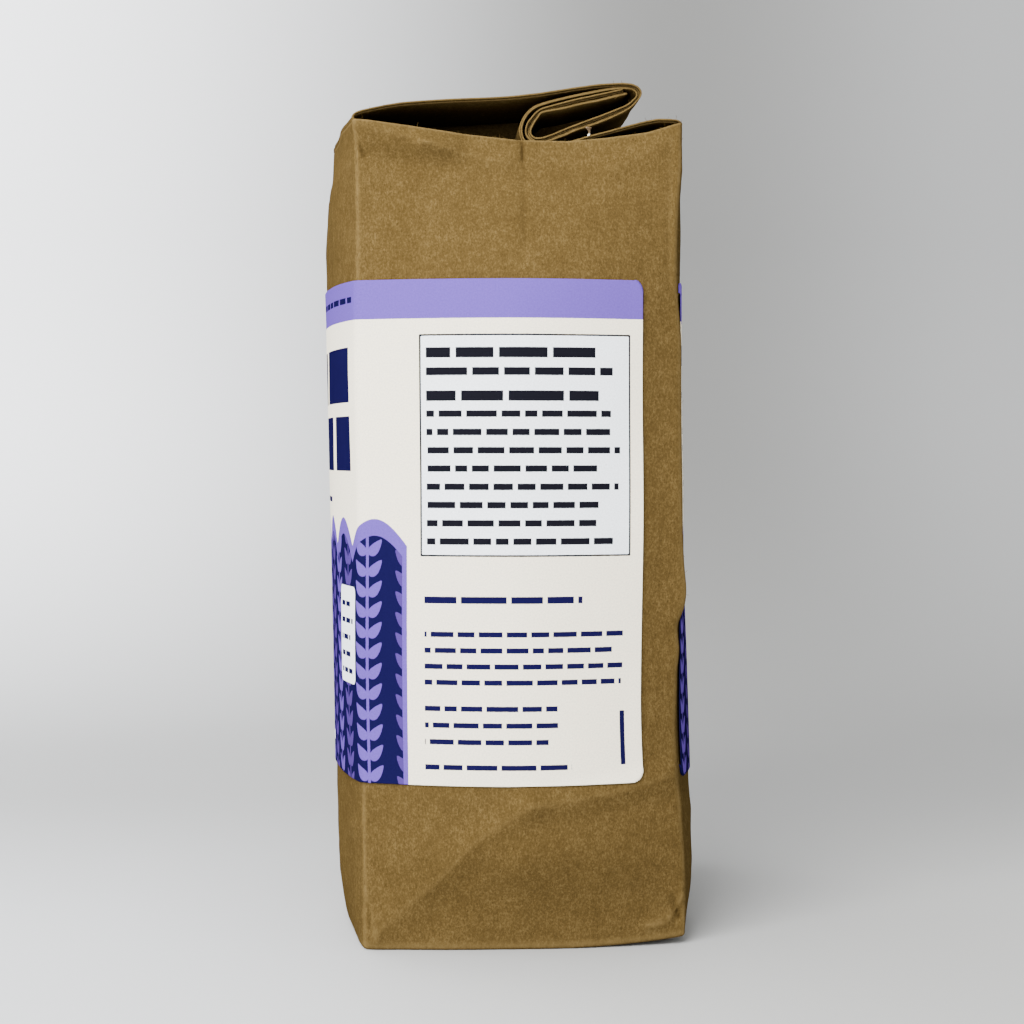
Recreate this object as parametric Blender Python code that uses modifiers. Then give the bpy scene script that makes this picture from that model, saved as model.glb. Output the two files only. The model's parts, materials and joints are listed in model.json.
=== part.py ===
"""Upright paper bag of rolled oats, shut by rolling its top down, with a wrap-round label.

Metres, +Z up. The origin is at the middle of the base, on the surface that the bag stands on.
The display panel faces -Y, the back panel +Y, and the two folded side gussets face +X and -X.
The bag is first modelled with flat walls, and belly_out() then pushes every wall outwards the way
loose oats fill it. The label goes through the same function, so it always fits the bag.
"""

import math

import bmesh
import bpy
from mathutils import Vector

MM = 0.001

# Paper bag: a common grocery size, 5 in by 3 1/4 in
PANEL_WIDTH = 127.0 * MM
GUSSET_DEPTH = 82.5 * MM
PAPER = 0.6 * MM
CORNER_RADIUS = 1.6 * MM
BASE_TAPER = 1.7 * MM
BASE_TURN = 0.9 * MM
HALF_WIDTH = PANEL_WIDTH / 2
HALF_DEPTH = GUSSET_DEPTH / 2

# Where the walls end and the folded top starts
SHOULDER_HEIGHT = 208.4 * MM
TOP_LEVEL = 202.0 * MM

# The bottom is folded paper of this thickness. All heights here are measured from its upper side
BOTTOM_FOLDS = 2.4 * MM
BOTTOM_ROUNDING = 12.0 * MM

# How far the oats push each wall out
FRONT_BELLY_LOW = 7.6 * MM
FRONT_BELLY_HIGH = 9.4 * MM
BACK_BELLY_LOW = 10.3 * MM
BACK_BELLY_HIGH = 5.2 * MM
BACK_BELLY_FALL = 140.0 * MM
SIDE_BELLY = 9.4 * MM
PANEL_FULLNESS = 2.6
SIDE_FULLNESS = 1.7
FOOT_ROUNDING = 18.0 * MM
FOOT_FULLNESS = 0.18
SIDE_FOOT_ROUNDING = 26.0 * MM
SIDE_FOOT_FULLNESS = 0.25
SHOULDER_ROUNDING = 30.0 * MM
SHOULDER_LOSS = 0.25
SIDE_FADE = 55.0 * MM
FRONT_BOW_FROM = 8.0 * MM
BACK_BOW_FROM = 31.0 * MM
SIDE_BOW_FROM = 20.0 * MM
CENTRING = 0.49 * MM

# The corners of the back panel spread at the foot, and its top leans forward
BACK_SPREAD = 3.5 * MM
BACK_SPREAD_HEIGHT = 64.0 * MM
BACK_LEAN = 1.15 * MM
BACK_LEAN_FROM = 110.0 * MM

# Creases that the folded flat bag left in its gussets
FOOT_CREASE_HEIGHT = 38.0 * MM
CREASE_RELIEF = 0.7 * MM
CREASE_WIDTH = 5.0 * MM
LEVEL_CREASE = 0.7
TUCK_DEPTH = 3.0 * MM
TUCK_HEIGHT = 26.0 * MM
TUCK_FULLNESS = 1.2

# Pushed-in corner of the foot, at the gusset facing +X and the back panel
DENT_REACH = 34.0 * MM
DENT_LIFT = 2.0 * MM
DENT_PUSH = 1.6 * MM

# Label: 5 in by 16 in, wrapped round from one gusset to the back panel
LABEL_HEIGHT = 127.0 * MM
LABEL_LENGTH = 406.4 * MM
LABEL_FOOT = 40.6 * MM
LABEL_START = 31.7 * MM
LABEL_CORNER = 3.0 * MM
LABEL_THICKNESS = 0.3 * MM
GAP = 0.3 * MM

# Folded top, seen end-on: (y, z) in mm
FRONT_ROOF = [(-41.25, 208.4), (-38.4, 210.9), (-28.2, 212.6), (-14.0, 213.5), (2.6, 214.6)]
BACK_ROOF = [(2.8, 202.4), (12.0, 203.3), (18.4, 205.0), (33.7, 208.7), (37.6, 208.9), (41.25, 208.2)]
GUSSET_TOP = [(-41.25, 207.6), (-14.7, 204.8), (5.0, 203.0), (12.3, 202.9), (22.4, 203.7), (41.25, 207.6)]

# The rolled paper turns about four corners, given as (y, z) and the innermost layer's radius in mm
LOW_LEFT = ((4.6, 205.5), 1.5)
UP_LEFT = ((7.2, 209.7), 1.2)
UP_RIGHT = ((28.3, 215.2), 1.4)
LOW_RIGHT = ((26.6, 213.8), 1.3)
LAYER_PITCH = 0.92
FRONT_FLAP_END = (26.0, 215.5)
BACK_FLAP_END = (27.4, 214.6)
ARC_STEP = math.radians(24)
LAYERED_END = 6.0 * MM
ROLL_CORE_DEPTH = 22.0 * MM

# Spaces that the gussets leave under the flaps: from and to, in y in mm
FRONT_POCKET = (-39.5, 6.0)
BACK_POCKET = (15.0, 39.5)
POCKET_DEPTH = 32.0 * MM
POCKET_TIP = 0.25
POCKET_STEPS = 8
POCKET_LEAST = 0.2
OVERRUN = 8.0 * MM

# Dab of glue under the roll
GLUE_Y = 17.4 * MM
GLUE_SIZE = (2.4 * MM, 1.5 * MM, 1.7 * MM)

# Rows and columns of the walls
FOOT_ROWS = 6
LABEL_ROWS = 16
HEAD_ROWS = 6
SIDE_COLUMNS = 12
PANEL_COLUMNS = 16


def clear_scene():
    for obj in list(bpy.data.objects):
        bpy.data.objects.remove(obj, do_unlink=True)


def new_collection(name):
    collection = bpy.data.collections.new(name)
    bpy.context.scene.collection.children.link(collection)
    return collection


def new_material(name, colour, roughness, metallic=0.0):
    material = bpy.data.materials.new(name)
    material.use_nodes = True
    shader = material.node_tree.nodes["Principled BSDF"]
    shader.inputs["Base Color"].default_value = (*colour, 1.0)
    shader.inputs["Roughness"].default_value = roughness
    shader.inputs["Metallic"].default_value = metallic
    return material


def clamp(value):
    return min(max(value, 0.0), 1.0)


def smooth(value):
    """Eases from 0 to 1."""
    value = clamp(value)
    return value * value * (3 - 2 * value)


def height_on(line, y):
    """Height in metres of a (y, z) line in mm at the place y, in metres, straight between its points."""
    y_mm = y / MM
    if y_mm <= line[0][0]:
        return line[0][1] * MM
    for (y0, z0), (y1, z1) in zip(line, line[1:]):
        if y_mm <= y1:
            return (z0 + (z1 - z0) * (y_mm - y0) / (y1 - y0)) * MM
    return line[-1][1] * MM


# Bulging walls
def wall_profile(share, fullness):
    """1 in the middle of a wall and 0 at its two corners."""
    return 1 - clamp(abs(share)) ** fullness


def rise(z, low, high, change_over):
    """How full a wall is at a height: low near the foot, high further up, and rounded in at both ends."""
    amount = low + (high - low) * smooth(z / change_over)
    foot = FOOT_FULLNESS + (1 - FOOT_FULLNESS) * math.sqrt(1 - (1 - clamp(z / FOOT_ROUNDING)) ** 2)
    shoulder = 1 - SHOULDER_LOSS * smooth((z - SHOULDER_HEIGHT + SHOULDER_ROUNDING) / SHOULDER_ROUNDING)
    return amount * foot * shoulder


def side_rise(z):
    """The gussets are full half-way up, and folded in again at the top."""
    foot = SIDE_FOOT_FULLNESS + (1 - SIDE_FOOT_FULLNESS) * smooth(z / SIDE_FOOT_ROUNDING)
    return SIDE_BELLY * foot * (1 - smooth((z - SHOULDER_HEIGHT + SIDE_FADE) / SIDE_FADE))


def tuck(y, z):
    """Valley along the middle of a gusset, deepest at its top fold."""
    depth = TUCK_DEPTH * smooth((z - SHOULDER_HEIGHT + TUCK_HEIGHT) / TUCK_HEIGHT)
    return depth * wall_profile(y / HALF_DEPTH, TUCK_FULLNESS)


def foot_crease(point):
    """Ridge left where the foot of a gusset was folded: level across, and slanting to each corner."""
    x, y, z = point
    if abs(x) < HALF_WIDTH - 0.1 * MM:
        return 0.0
    slant = FOOT_CREASE_HEIGHT * (1 - abs(y) / HALF_DEPTH)
    ridge = 1 - clamp(abs(z - slant) / CREASE_WIDTH)
    level = 1 - clamp(abs(z - FOOT_CREASE_HEIGHT) / CREASE_WIDTH)
    return CREASE_RELIEF * max(ridge, LEVEL_CREASE * level)


def belly_out(point):
    """Moves a point of the flat-walled bag to where the filled bag has it."""
    x, y, z = point
    side = 1 if x >= 0 else -1
    taper = BASE_TAPER * (1 - clamp(z / SHOULDER_HEIGHT))
    across = wall_profile(x / HALF_WIDTH, PANEL_FULLNESS)
    along = wall_profile(y / HALF_DEPTH, SIDE_FULLNESS)
    back_from = BACK_BOW_FROM if z > TOP_LEVEL else 0.0
    to_front = smooth((-y - FRONT_BOW_FROM) / (HALF_DEPTH - FRONT_BOW_FROM))
    to_back = smooth((y - back_from) / (HALF_DEPTH - back_from))
    to_side = smooth((abs(x) - SIDE_BOW_FROM) / (HALF_WIDTH - SIDE_BOW_FROM))
    front = across * rise(z, FRONT_BELLY_LOW, FRONT_BELLY_HIGH, SHOULDER_HEIGHT)
    back = across * rise(z, BACK_BELLY_LOW, BACK_BELLY_HIGH, BACK_BELLY_FALL)
    back += (1 - across) * BACK_SPREAD * (1 - smooth(z / BACK_SPREAD_HEIGHT))
    back -= BACK_LEAN * smooth((z - BACK_LEAN_FROM) / (SHOULDER_HEIGHT - BACK_LEAN_FROM))
    x += side * to_side * (along * side_rise(z) - tuck(y, z) - taper)
    x += side * foot_crease(point)
    y += to_back * (back - taper) - to_front * (front - taper) + CENTRING
    corner = Vector((point[0] - HALF_WIDTH, point[1] - HALF_DEPTH, point[2])).length
    dent = (1 - clamp(corner / DENT_REACH)) ** 2
    z += DENT_LIFT * dent + BOTTOM_FOLDS * smooth(z / BOTTOM_ROUNDING)
    return Vector((x - DENT_PUSH * dent, y, z))


# Mesh helpers
def add_object(name, mesh, collection, material=None):
    obj = bpy.data.objects.new(name, mesh)
    collection.objects.link(obj)
    if material:
        obj.data.materials.append(material)
    return obj


def split_at(bm, axis, places, keep=None):
    """Cuts the mesh into strips at the given places along an axis, only where keep() allows."""
    normal = Vector([1.0 if i == axis else 0.0 for i in range(3)])
    for place in places:
        faces = [f for f in bm.faces if keep is None or keep(f.calc_center_median())]
        edges = {e for f in faces for e in f.edges}
        verts = {v for f in faces for v in f.verts}
        bmesh.ops.bisect_plane(bm, geom=faces + list(edges) + list(verts), dist=1e-7,
                               plane_co=normal * place, plane_no=normal)


def extruded_outline(name, outline, x_low, x_high, collection):
    """A closed (y, z) outline in mm as a 2D curve, extruded along X and made a mesh."""
    curve = bpy.data.curves.new(name, "CURVE")
    curve.dimensions = "2D"
    curve.fill_mode = "BOTH"
    curve.extrude = (x_high - x_low) / 2
    spline = curve.splines.new("POLY")
    spline.points.add(len(outline) - 1)
    for point, (y, z) in zip(spline.points, outline):
        point.co = (y * MM, z * MM, 0.0, 1.0)
    spline.use_cyclic_u = True
    guide = bpy.data.objects.new(name + "_outline", curve)
    collection.objects.link(guide)
    guide.rotation_euler = (math.pi / 2, 0.0, math.pi / 2)
    guide.location = ((x_low + x_high) / 2, 0.0, 0.0)
    bpy.context.view_layer.update()
    evaluated = guide.evaluated_get(bpy.context.evaluated_depsgraph_get())
    mesh = bpy.data.meshes.new_from_object(evaluated)
    mesh.transform(guide.matrix_world)
    bpy.data.objects.remove(guide, do_unlink=True)
    bm = bmesh.new()
    bm.from_mesh(mesh)
    bmesh.ops.remove_doubles(bm, verts=bm.verts, dist=1e-6)
    bmesh.ops.recalc_face_normals(bm, faces=bm.faces)
    bm.to_mesh(mesh)
    bm.free()
    return add_object(name, mesh, collection)


def boolean(target, operation, others, solver="EXACT"):
    """Joins or cuts the target with helper objects, applies the result and removes the helpers."""
    for other in others:
        modifier = target.modifiers.new(operation.lower(), "BOOLEAN")
        modifier.operation = operation
        modifier.solver = solver
        modifier.object = other
    bpy.context.view_layer.update()
    evaluated = target.evaluated_get(bpy.context.evaluated_depsgraph_get())
    mesh = bpy.data.meshes.new_from_object(evaluated)
    target.modifiers.clear()
    target.data = mesh
    for other in others:
        bpy.data.objects.remove(other, do_unlink=True)


# The roll, seen end-on
def tangent(corner_a, layer_a, corner_b, layer_b):
    """Angle of the way out from the paper's straight run between two corners of the roll."""
    (ya, za), ra = corner_a
    (yb, zb), rb = corner_b
    run = math.hypot(yb - ya, zb - za)
    difference = (ra + layer_a * LAYER_PITCH - rb - layer_b * LAYER_PITCH) / run
    return math.atan2(zb - za, yb - ya) + math.acos(difference)


def wind(stops, start=None, end=None):
    """Centre line of a layer wound clockwise round the stops, each a corner and its layer number."""
    nodes = [((start, 0.0), 0)] if start else []
    nodes += stops
    nodes += [((end, 0.0), 0)] if end else []
    angles = [tangent(*a, *b) for a, b in zip(nodes, nodes[1:])]
    line = [start] if start else []
    first = 1 if start else 0
    for i in range(first, len(nodes) - (1 if end else 0)):
        ((cy, cz), base), layer = nodes[i]
        radius = base + layer * LAYER_PITCH
        enter = angles[i - 1] if i > 0 else angles[i]
        leave = angles[i] if i < len(angles) else angles[i - 1]
        turn = (enter - leave) % (2 * math.pi)
        steps = max(1, math.ceil(turn / ARC_STEP))
        for step in range(steps + 1):
            angle = enter - turn * step / steps
            line.append((cy + radius * math.cos(angle), cz + radius * math.sin(angle)))
    if end:
        line.append(end)
    return line


def loop_round(stops):
    """Closed outline round the stops, without the two doubled points at each end of the way."""
    return wind([stops[-1], *stops, stops[0]])[2:-2]


def ribbon_outline(line, thickness):
    """Both sides of a line, as one closed outline."""
    half = thickness / MM / 2
    left, right = [], []
    for i, (y, z) in enumerate(line):
        y0, z0 = line[max(i - 1, 0)]
        y1, z1 = line[min(i + 1, len(line) - 1)]
        length = math.hypot(y1 - y0, z1 - z0)
        ny, nz = -(z1 - z0) / length * half, (y1 - y0) / length * half
        left.append((y + ny, z + nz))
        right.append((y - ny, z - nz))
    return left + right[::-1]


def front_flap_line():
    """The front panel's flap: over the roof, round the roll once and half of it again."""
    start = (-2.0, height_on(FRONT_ROOF, -2.0 * MM) / MM - PAPER / MM / 2)
    stops = [(UP_RIGHT, 1), (LOW_RIGHT, 1), (LOW_LEFT, 1), (UP_LEFT, 1)]
    return wind(stops, start, FRONT_FLAP_END)


def back_flap_line():
    """The back panel's flap: under the roll, then round it inside the front flap."""
    start = (19.0, height_on(BACK_ROOF, 19.0 * MM) / MM - PAPER / MM)
    stops = [(LOW_LEFT, 2), (UP_LEFT, 2), (UP_RIGHT, 0), (LOW_RIGHT, 0), (LOW_LEFT, 0), (UP_LEFT, 0)]
    return wind(stops, start, BACK_FLAP_END)


# Sub-parts
def wall_rows():
    rows = [0.9 * MM, 3.2 * MM]
    rows += [FOOT_CREASE_HEIGHT * i / FOOT_ROWS for i in range(1, FOOT_ROWS + 1)]
    rows += [LABEL_FOOT + LABEL_HEIGHT * i / LABEL_ROWS for i in range(LABEL_ROWS + 1)]
    top = LABEL_FOOT + LABEL_HEIGHT
    rows += [top + (TOP_LEVEL - top) * i / HEAD_ROWS for i in range(1, HEAD_ROWS)]
    return rows


def panel_places():
    """Columns across a panel, closer together near the corners where the wall turns most."""
    inner = HALF_WIDTH - CORNER_RADIUS
    shares = [2 * i / PANEL_COLUMNS - 1 for i in range(1, PANEL_COLUMNS)]
    return [inner * math.sin(share * math.pi / 2) for share in shares]


def side_places():
    return [HALF_DEPTH * (2 * i / SIDE_COLUMNS - 1) for i in range(1, SIDE_COLUMNS)]


def build_walls(collection):
    """The body up to its roof: a box with rounded upright edges, split into rows and columns."""
    bm = bmesh.new()
    bmesh.ops.create_cube(bm, size=1.0)
    for vert in bm.verts:
        vert.co = Vector((vert.co.x * PANEL_WIDTH, vert.co.y * GUSSET_DEPTH,
                          (vert.co.z + 0.5) * SHOULDER_HEIGHT))
    upright = [e for e in bm.edges if abs(e.verts[0].co.z - e.verts[1].co.z) > SHOULDER_HEIGHT / 2]
    bmesh.ops.bevel(bm, geom=upright, offset=CORNER_RADIUS, segments=2, profile=0.5, affect="EDGES")
    split_at(bm, 2, wall_rows())
    split_at(bm, 0, panel_places())
    roof_lines = [y * MM for y, _ in FRONT_ROOF[1:] + BACK_ROOF[:-1]]
    split_at(bm, 1, side_places())
    split_at(bm, 1, roof_lines, keep=lambda middle: middle.z > TOP_LEVEL)
    roof_break = (FRONT_ROOF[-1][0] + BACK_ROOF[0][0]) / 2 * MM
    for vert in bm.verts:
        x, y, z = vert.co
        if z > SHOULDER_HEIGHT - 1e-6:
            line = FRONT_ROOF if y < roof_break else BACK_ROOF
            vert.co.z = height_on(line, y)
        elif z < 1e-6:
            vert.co.x = x * (1 - BASE_TURN / HALF_WIDTH)
            vert.co.y = y * (1 - BASE_TURN / HALF_DEPTH)
    mesh = bpy.data.meshes.new("bag")
    bm.to_mesh(mesh)
    bm.free()
    return add_object("bag", mesh, collection)


def pocket(name, side, roof_line, reach, collection):
    """Cutter for the space that a gusset leaves under a flap: open at the end, closing inwards."""
    first, last = reach
    places = [first + (last - first) * i / POCKET_STEPS for i in range(POCKET_STEPS + 1)]
    top = [(y, (height_on(roof_line, y * MM) - PAPER) / MM) for y in places]
    floor = [(y, min(height_on(GUSSET_TOP, y * MM) / MM, z - POCKET_LEAST)) for (y, z) in top]
    outer = side * (HALF_WIDTH + OVERRUN)
    inner = side * (HALF_WIDTH - POCKET_DEPTH)
    low, high = sorted((outer, inner))
    obj = extruded_outline(name, top + floor[::-1], low, high, collection)
    for vert in obj.data.vertices:
        if abs(vert.co.x - inner) < 1e-6:
            roof = height_on(roof_line, vert.co.y) - PAPER
            vert.co.z = roof - POCKET_TIP * (roof - vert.co.z)
    return obj


def reshape(obj, bend):
    """Moves every point of an object's mesh to where a function puts it."""
    bm = bmesh.new()
    bm.from_mesh(obj.data)
    for vert in bm.verts:
        vert.co = bend(vert.co)
    bm.to_mesh(obj.data)
    bm.free()


def build_roll_filling(cutters):
    """The roll between its ends: closed but for its core, which is open a little way in."""
    outline = loop_round([(UP_RIGHT, 1), (LOW_RIGHT, 1), (LOW_LEFT, 2), (UP_LEFT, 2)])
    reach = HALF_WIDTH - LAYERED_END
    filling = extruded_outline("roll_filling", outline, -reach, reach, cutters)
    core = loop_round([(UP_RIGHT, 0), (LOW_RIGHT, 0), (LOW_LEFT, 0), (UP_LEFT, 0)])
    cores = []
    for side in (-1, 1):
        low, high = sorted((side * (HALF_WIDTH + OVERRUN), side * (HALF_WIDTH - ROLL_CORE_DEPTH)))
        cores.append(extruded_outline(f"roll_core_{side}", core, low, high, cutters))
    boolean(filling, "DIFFERENCE", cores)
    return filling


def build_bag(parts, cutters, material):
    bag = build_walls(parts)
    pockets = []
    for side in (-1, 1):
        pockets.append(pocket(f"front_pocket_{side}", side, FRONT_ROOF, FRONT_POCKET, cutters))
        pockets.append(pocket(f"back_pocket_{side}", side, BACK_ROOF, BACK_POCKET, cutters))
    boolean(bag, "DIFFERENCE", pockets, solver="MANIFOLD")

    reach = HALF_WIDTH - GAP
    front = extruded_outline("front_flap", ribbon_outline(front_flap_line(), PAPER), -reach, reach, cutters)
    back = extruded_outline("back_flap", ribbon_outline(back_flap_line(), PAPER), -reach, reach, cutters)
    boolean(bag, "UNION", [build_roll_filling(cutters), front, back], solver="MANIFOLD")

    reshape(bag, belly_out)
    bag.data.materials.clear()
    bag.data.materials.append(material)
    return bag


def rounded_corner(side_x, side_y, first_angle, out):
    """Points of the wrap's turn round one upright edge of the bag, seen from above."""
    centre = Vector((side_x * (HALF_WIDTH - CORNER_RADIUS), side_y * (HALF_DEPTH - CORNER_RADIUS)))
    radius = CORNER_RADIUS + out
    points = []
    for step in range(3):
        angle = math.radians(first_angle - 45 * step)
        points.append(centre + radius * Vector((math.cos(angle), math.sin(angle))))
    return points


def wrap_path():
    """The label's way round the bag, seen from above: one gusset, front, far gusset, back."""
    x_out = HALF_WIDTH + GAP
    y_out = HALF_DEPTH + GAP
    ends = [0.0, 0.9 * MM, LABEL_CORNER]
    last = LABEL_LENGTH - (LABEL_START + HALF_DEPTH + PANEL_WIDTH + GUSSET_DEPTH) - HALF_WIDTH
    path = [Vector((x_out, LABEL_START - along)) for along in ends]
    path += [Vector((x_out, y)) for y in reversed(side_places()) if y < LABEL_START - 2 * LABEL_CORNER]
    path += rounded_corner(1, -1, 0, GAP)
    path += [Vector((x, -y_out)) for x in reversed(panel_places())]
    path += rounded_corner(-1, -1, -90, GAP)
    path += [Vector((-x_out, y)) for y in side_places()]
    path += rounded_corner(-1, 1, -180, GAP)
    path += [Vector((x, y_out)) for x in panel_places() if x < last - 2 * LABEL_CORNER]
    path += [Vector((last - along, y_out)) for along in reversed(ends)]
    return path


def build_label(parts, material):
    """A sheet with rounded corners, stood up along its path and filled out with the bag."""
    path = wrap_path()
    top = LABEL_FOOT + LABEL_HEIGHT
    bm = bmesh.new()
    verts = [bm.verts.new((point.x, point.y, LABEL_FOOT)) for point in path]
    edges = [bm.edges.new(pair) for pair in zip(verts, verts[1:])]
    raised = bmesh.ops.extrude_edge_only(bm, edges=edges)["geom"]
    for element in raised:
        if isinstance(element, bmesh.types.BMVert):
            element.co.z = top
    split_at(bm, 2, [LABEL_FOOT + LABEL_HEIGHT * i / LABEL_ROWS for i in range(1, LABEL_ROWS)])
    first, last = path[0], path[-1]
    for vert in bm.verts:
        plan = Vector(vert.co.xy)
        from_end = min((plan - first).length, (plan - last).length)
        short = LABEL_CORNER - min(from_end, LABEL_CORNER)
        inset = LABEL_CORNER - math.sqrt(LABEL_CORNER ** 2 - short ** 2)
        vert.co.z = min(max(vert.co.z, LABEL_FOOT + inset), top - inset)
        vert.co = belly_out(vert.co)
    mesh = bpy.data.meshes.new("label")
    bm.to_mesh(mesh)
    bm.free()
    label = add_object("label", mesh, parts, material)
    thickness = label.modifiers.new("thickness", "SOLIDIFY")
    thickness.thickness = LABEL_THICKNESS
    thickness.offset = 1.0
    thickness.use_even_offset = True
    return label


def build_glue(parts, material):
    """Small dab that holds the roll down on the back flap, at the end facing +X."""
    bm = bmesh.new()
    bmesh.ops.create_uvsphere(bm, u_segments=12, v_segments=8, radius=0.5)
    lowest = height_on(BACK_ROOF, GLUE_Y + GLUE_SIZE[1] / 2) + GAP
    middle = Vector((HALF_WIDTH - GLUE_SIZE[0], GLUE_Y, lowest + GLUE_SIZE[2] / 2))
    for vert in bm.verts:
        vert.co = belly_out(middle + vert.co * Vector(GLUE_SIZE))
    mesh = bpy.data.meshes.new("glue_bead")
    bm.to_mesh(mesh)
    bm.free()
    bead = add_object("glue_bead", mesh, parts, material)
    bead.data.shade_smooth()
    return bead


def main():
    clear_scene()
    parts = new_collection("paper_bag_of_oats")
    cutters = new_collection("cutters")
    cutters.hide_render = True
    kraft = new_material("kraft_paper", (0.335, 0.215, 0.095), 0.82)
    printed = new_material("label_paper", (0.80, 0.75, 0.69), 0.5)
    glue = new_material("hot_glue", (0.72, 0.62, 0.42), 0.3)
    build_bag(parts, cutters, kraft)
    build_label(parts, printed)
    build_glue(parts, glue)


main()
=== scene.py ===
# %% [markdown]
# # A paper bag of rolled oats, shut by rolling its top down
#
# The real thing is a flat-bottomed grocery bag of brown kraft paper, 127 mm wide and 82.5 mm deep.
# Its two narrow sides are gussets, which fold inwards at the top. Loose oats push every wall out a
# little. The wide panels are brought together above the gussets and rolled down towards the back,
# where a dab of glue holds the roll. A printed paper label is wrapped almost all the way round.
#
# The CAD model is loaded first. It fixes the size and the place of everything that follows.

# %% Load the frame
import json
import math

import bmesh
import bpy
import numpy as np
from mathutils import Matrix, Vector

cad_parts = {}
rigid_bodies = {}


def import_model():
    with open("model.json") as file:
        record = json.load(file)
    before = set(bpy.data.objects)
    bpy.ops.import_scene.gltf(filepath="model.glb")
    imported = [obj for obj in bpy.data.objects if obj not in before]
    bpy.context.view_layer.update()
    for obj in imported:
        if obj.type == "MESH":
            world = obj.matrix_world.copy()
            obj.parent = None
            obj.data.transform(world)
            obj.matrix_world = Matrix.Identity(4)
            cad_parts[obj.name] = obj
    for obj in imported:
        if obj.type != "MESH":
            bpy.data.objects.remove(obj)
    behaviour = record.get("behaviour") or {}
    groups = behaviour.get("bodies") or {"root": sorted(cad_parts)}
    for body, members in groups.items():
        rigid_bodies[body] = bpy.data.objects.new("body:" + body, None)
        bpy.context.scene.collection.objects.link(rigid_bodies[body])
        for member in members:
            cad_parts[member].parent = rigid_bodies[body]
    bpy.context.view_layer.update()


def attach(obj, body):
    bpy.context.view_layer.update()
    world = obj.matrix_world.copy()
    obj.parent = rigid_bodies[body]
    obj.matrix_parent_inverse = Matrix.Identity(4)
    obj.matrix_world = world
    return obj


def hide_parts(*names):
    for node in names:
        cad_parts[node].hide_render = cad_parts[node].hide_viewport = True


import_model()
MM = 0.001

# %% [markdown]
# ## The camera
#
# The photograph looks at one gusset from about 0.53 m, a little above half-way up and three degrees
# off square, which the uneven curve of the label's edges gives away. A lens can be described by how
# many pixels away its picture plane lies: here 2100, for a picture 1024 wide.
# Blender wants the same thing as a focal length for a 36 mm sensor, so it is worked out from that.

# %% Camera
PICTURE = 1024
LENS_PIXELS = 2100.0
SENSOR = 36.0
EYE = (0.5949, -0.0295, 0.1268)
TURNED = math.radians(3.04)
TILTED = math.radians(1.63)


def put_in_scene(name, data):
    """A new object for a mesh, a curve, a lamp or a camera."""
    obj = bpy.data.objects.new(name, data)
    bpy.context.scene.collection.objects.link(obj)
    return obj


camera_data = bpy.data.cameras.new("camera")
camera_data.sensor_width = SENSOR
camera_data.lens = SENSOR * LENS_PIXELS / PICTURE
camera = put_in_scene("camera", camera_data)
bpy.context.scene.camera = camera
camera.location = EYE
aim = Vector((-math.cos(TURNED), math.sin(TURNED), -math.tan(TILTED)))
camera.rotation_euler = aim.to_track_quat("-Z", "Y").to_euler()
print(f"lens {camera_data.lens:.1f} mm at {camera.location.length:.2f} m")

# %% [markdown]
# ## How oats fill a paper bag
#
# A paper wall can't stretch, so when the bag is filled its corners stay nearly where they were and
# the middle of each wall moves out. This could be simulated, but stiff paper full of grain settles
# into such a plain shape that a rule describes it better: a bag with flat walls is drawn first, and
# one function then moves every point of it. The label and the rolled top go through the same
# function, so they fit whatever it does. Numpy lets it move all the points of a mesh at once.

# %% Sizes of the bag
HALF_WIDTH = 63.5 * MM
HALF_DEPTH = 41.25 * MM
SHOULDER = 208.4 * MM
TOP_LEVEL = 202.0 * MM
CORNER = 1.3 * MM
TAPER = 1.7 * MM
BASE_TURN = 0.9 * MM
BOTTOM_FOLDS = 2.4 * MM
CENTRING = 0.49 * MM

print("flat-walled bag in mm:", [round(2 * v / MM, 1) for v in (HALF_WIDTH, HALF_DEPTH)])

# %% How the oats push the walls out
# How far each wall stands out, in the middle of its width: low on the wall and high on it
FRONT_BULGE = (7.6 * MM, 9.4 * MM)
BACK_BULGE = (10.3 * MM, 5.2 * MM)
BACK_CHANGE = 140 * MM
GUSSET_BULGE = 9.4 * MM
FOOT_ROUND = 18 * MM
FRONT_AT_FOOT = 0.42
BACK_AT_FOOT = 0.18
TUCK_DEPTH = 3.0 * MM
PANEL_FULLNESS = 2.6
GUSSET_FULLNESS = 1.7

# The middle of the bag that stays where it is, and the depth of the top that goes with the roll
STILL_DEPTH = 8 * MM
STILL_WIDTH = 20 * MM
ROLL_DEPTH = 31 * MM

# The corners of the back panel spread at the foot, its top leans forward, and one corner is dented
BACK_SPREAD = 3.5 * MM
BACK_LEAN = 1.15 * MM
DENT_REACH = 34 * MM
DENT_IN = 1.6 * MM
DENT_UP = 2.0 * MM


def clamp(value):
    return np.clip(value, 0.0, 1.0)


def ease(value):
    """Goes smoothly from 0 to 1."""
    value = clamp(value)
    return value * value * (3 - 2 * value)


def past(value, start, length):
    """0 up to the start, then smoothly to 1 over the length, both in mm."""
    return ease((value - start * MM) / (length * MM))


def hump(value, centre, width):
    """1 at the centre and almost 0 at twice the width from it, both in mm."""
    return np.exp(-((value - centre * MM) / (width * MM)) ** 2)


def swell(share, fullness):
    """1 in the middle of a wall and 0 at its corners."""
    return 1 - clamp(np.abs(share)) ** fullness


def panel_rise(z, bulge, change_over, foot_share):
    """How far a wide panel stands out at each height: rounded in at its foot and at its shoulder."""
    low, high = bulge
    amount = low + (high - low) * ease(z / change_over)
    foot = foot_share + (1 - foot_share) * np.sqrt(1 - (1 - clamp(z / FOOT_ROUND)) ** 2)
    return amount * foot * (1 - 0.25 * past(z, SHOULDER / MM - 30, 30))


def gusset_rise(z):
    """The gussets are full half-way up and folded in again at the top."""
    foot = 0.25 + 0.75 * past(z, 0, 26)
    return GUSSET_BULGE * foot * (1 - past(z, SHOULDER / MM - 55, 55))


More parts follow.
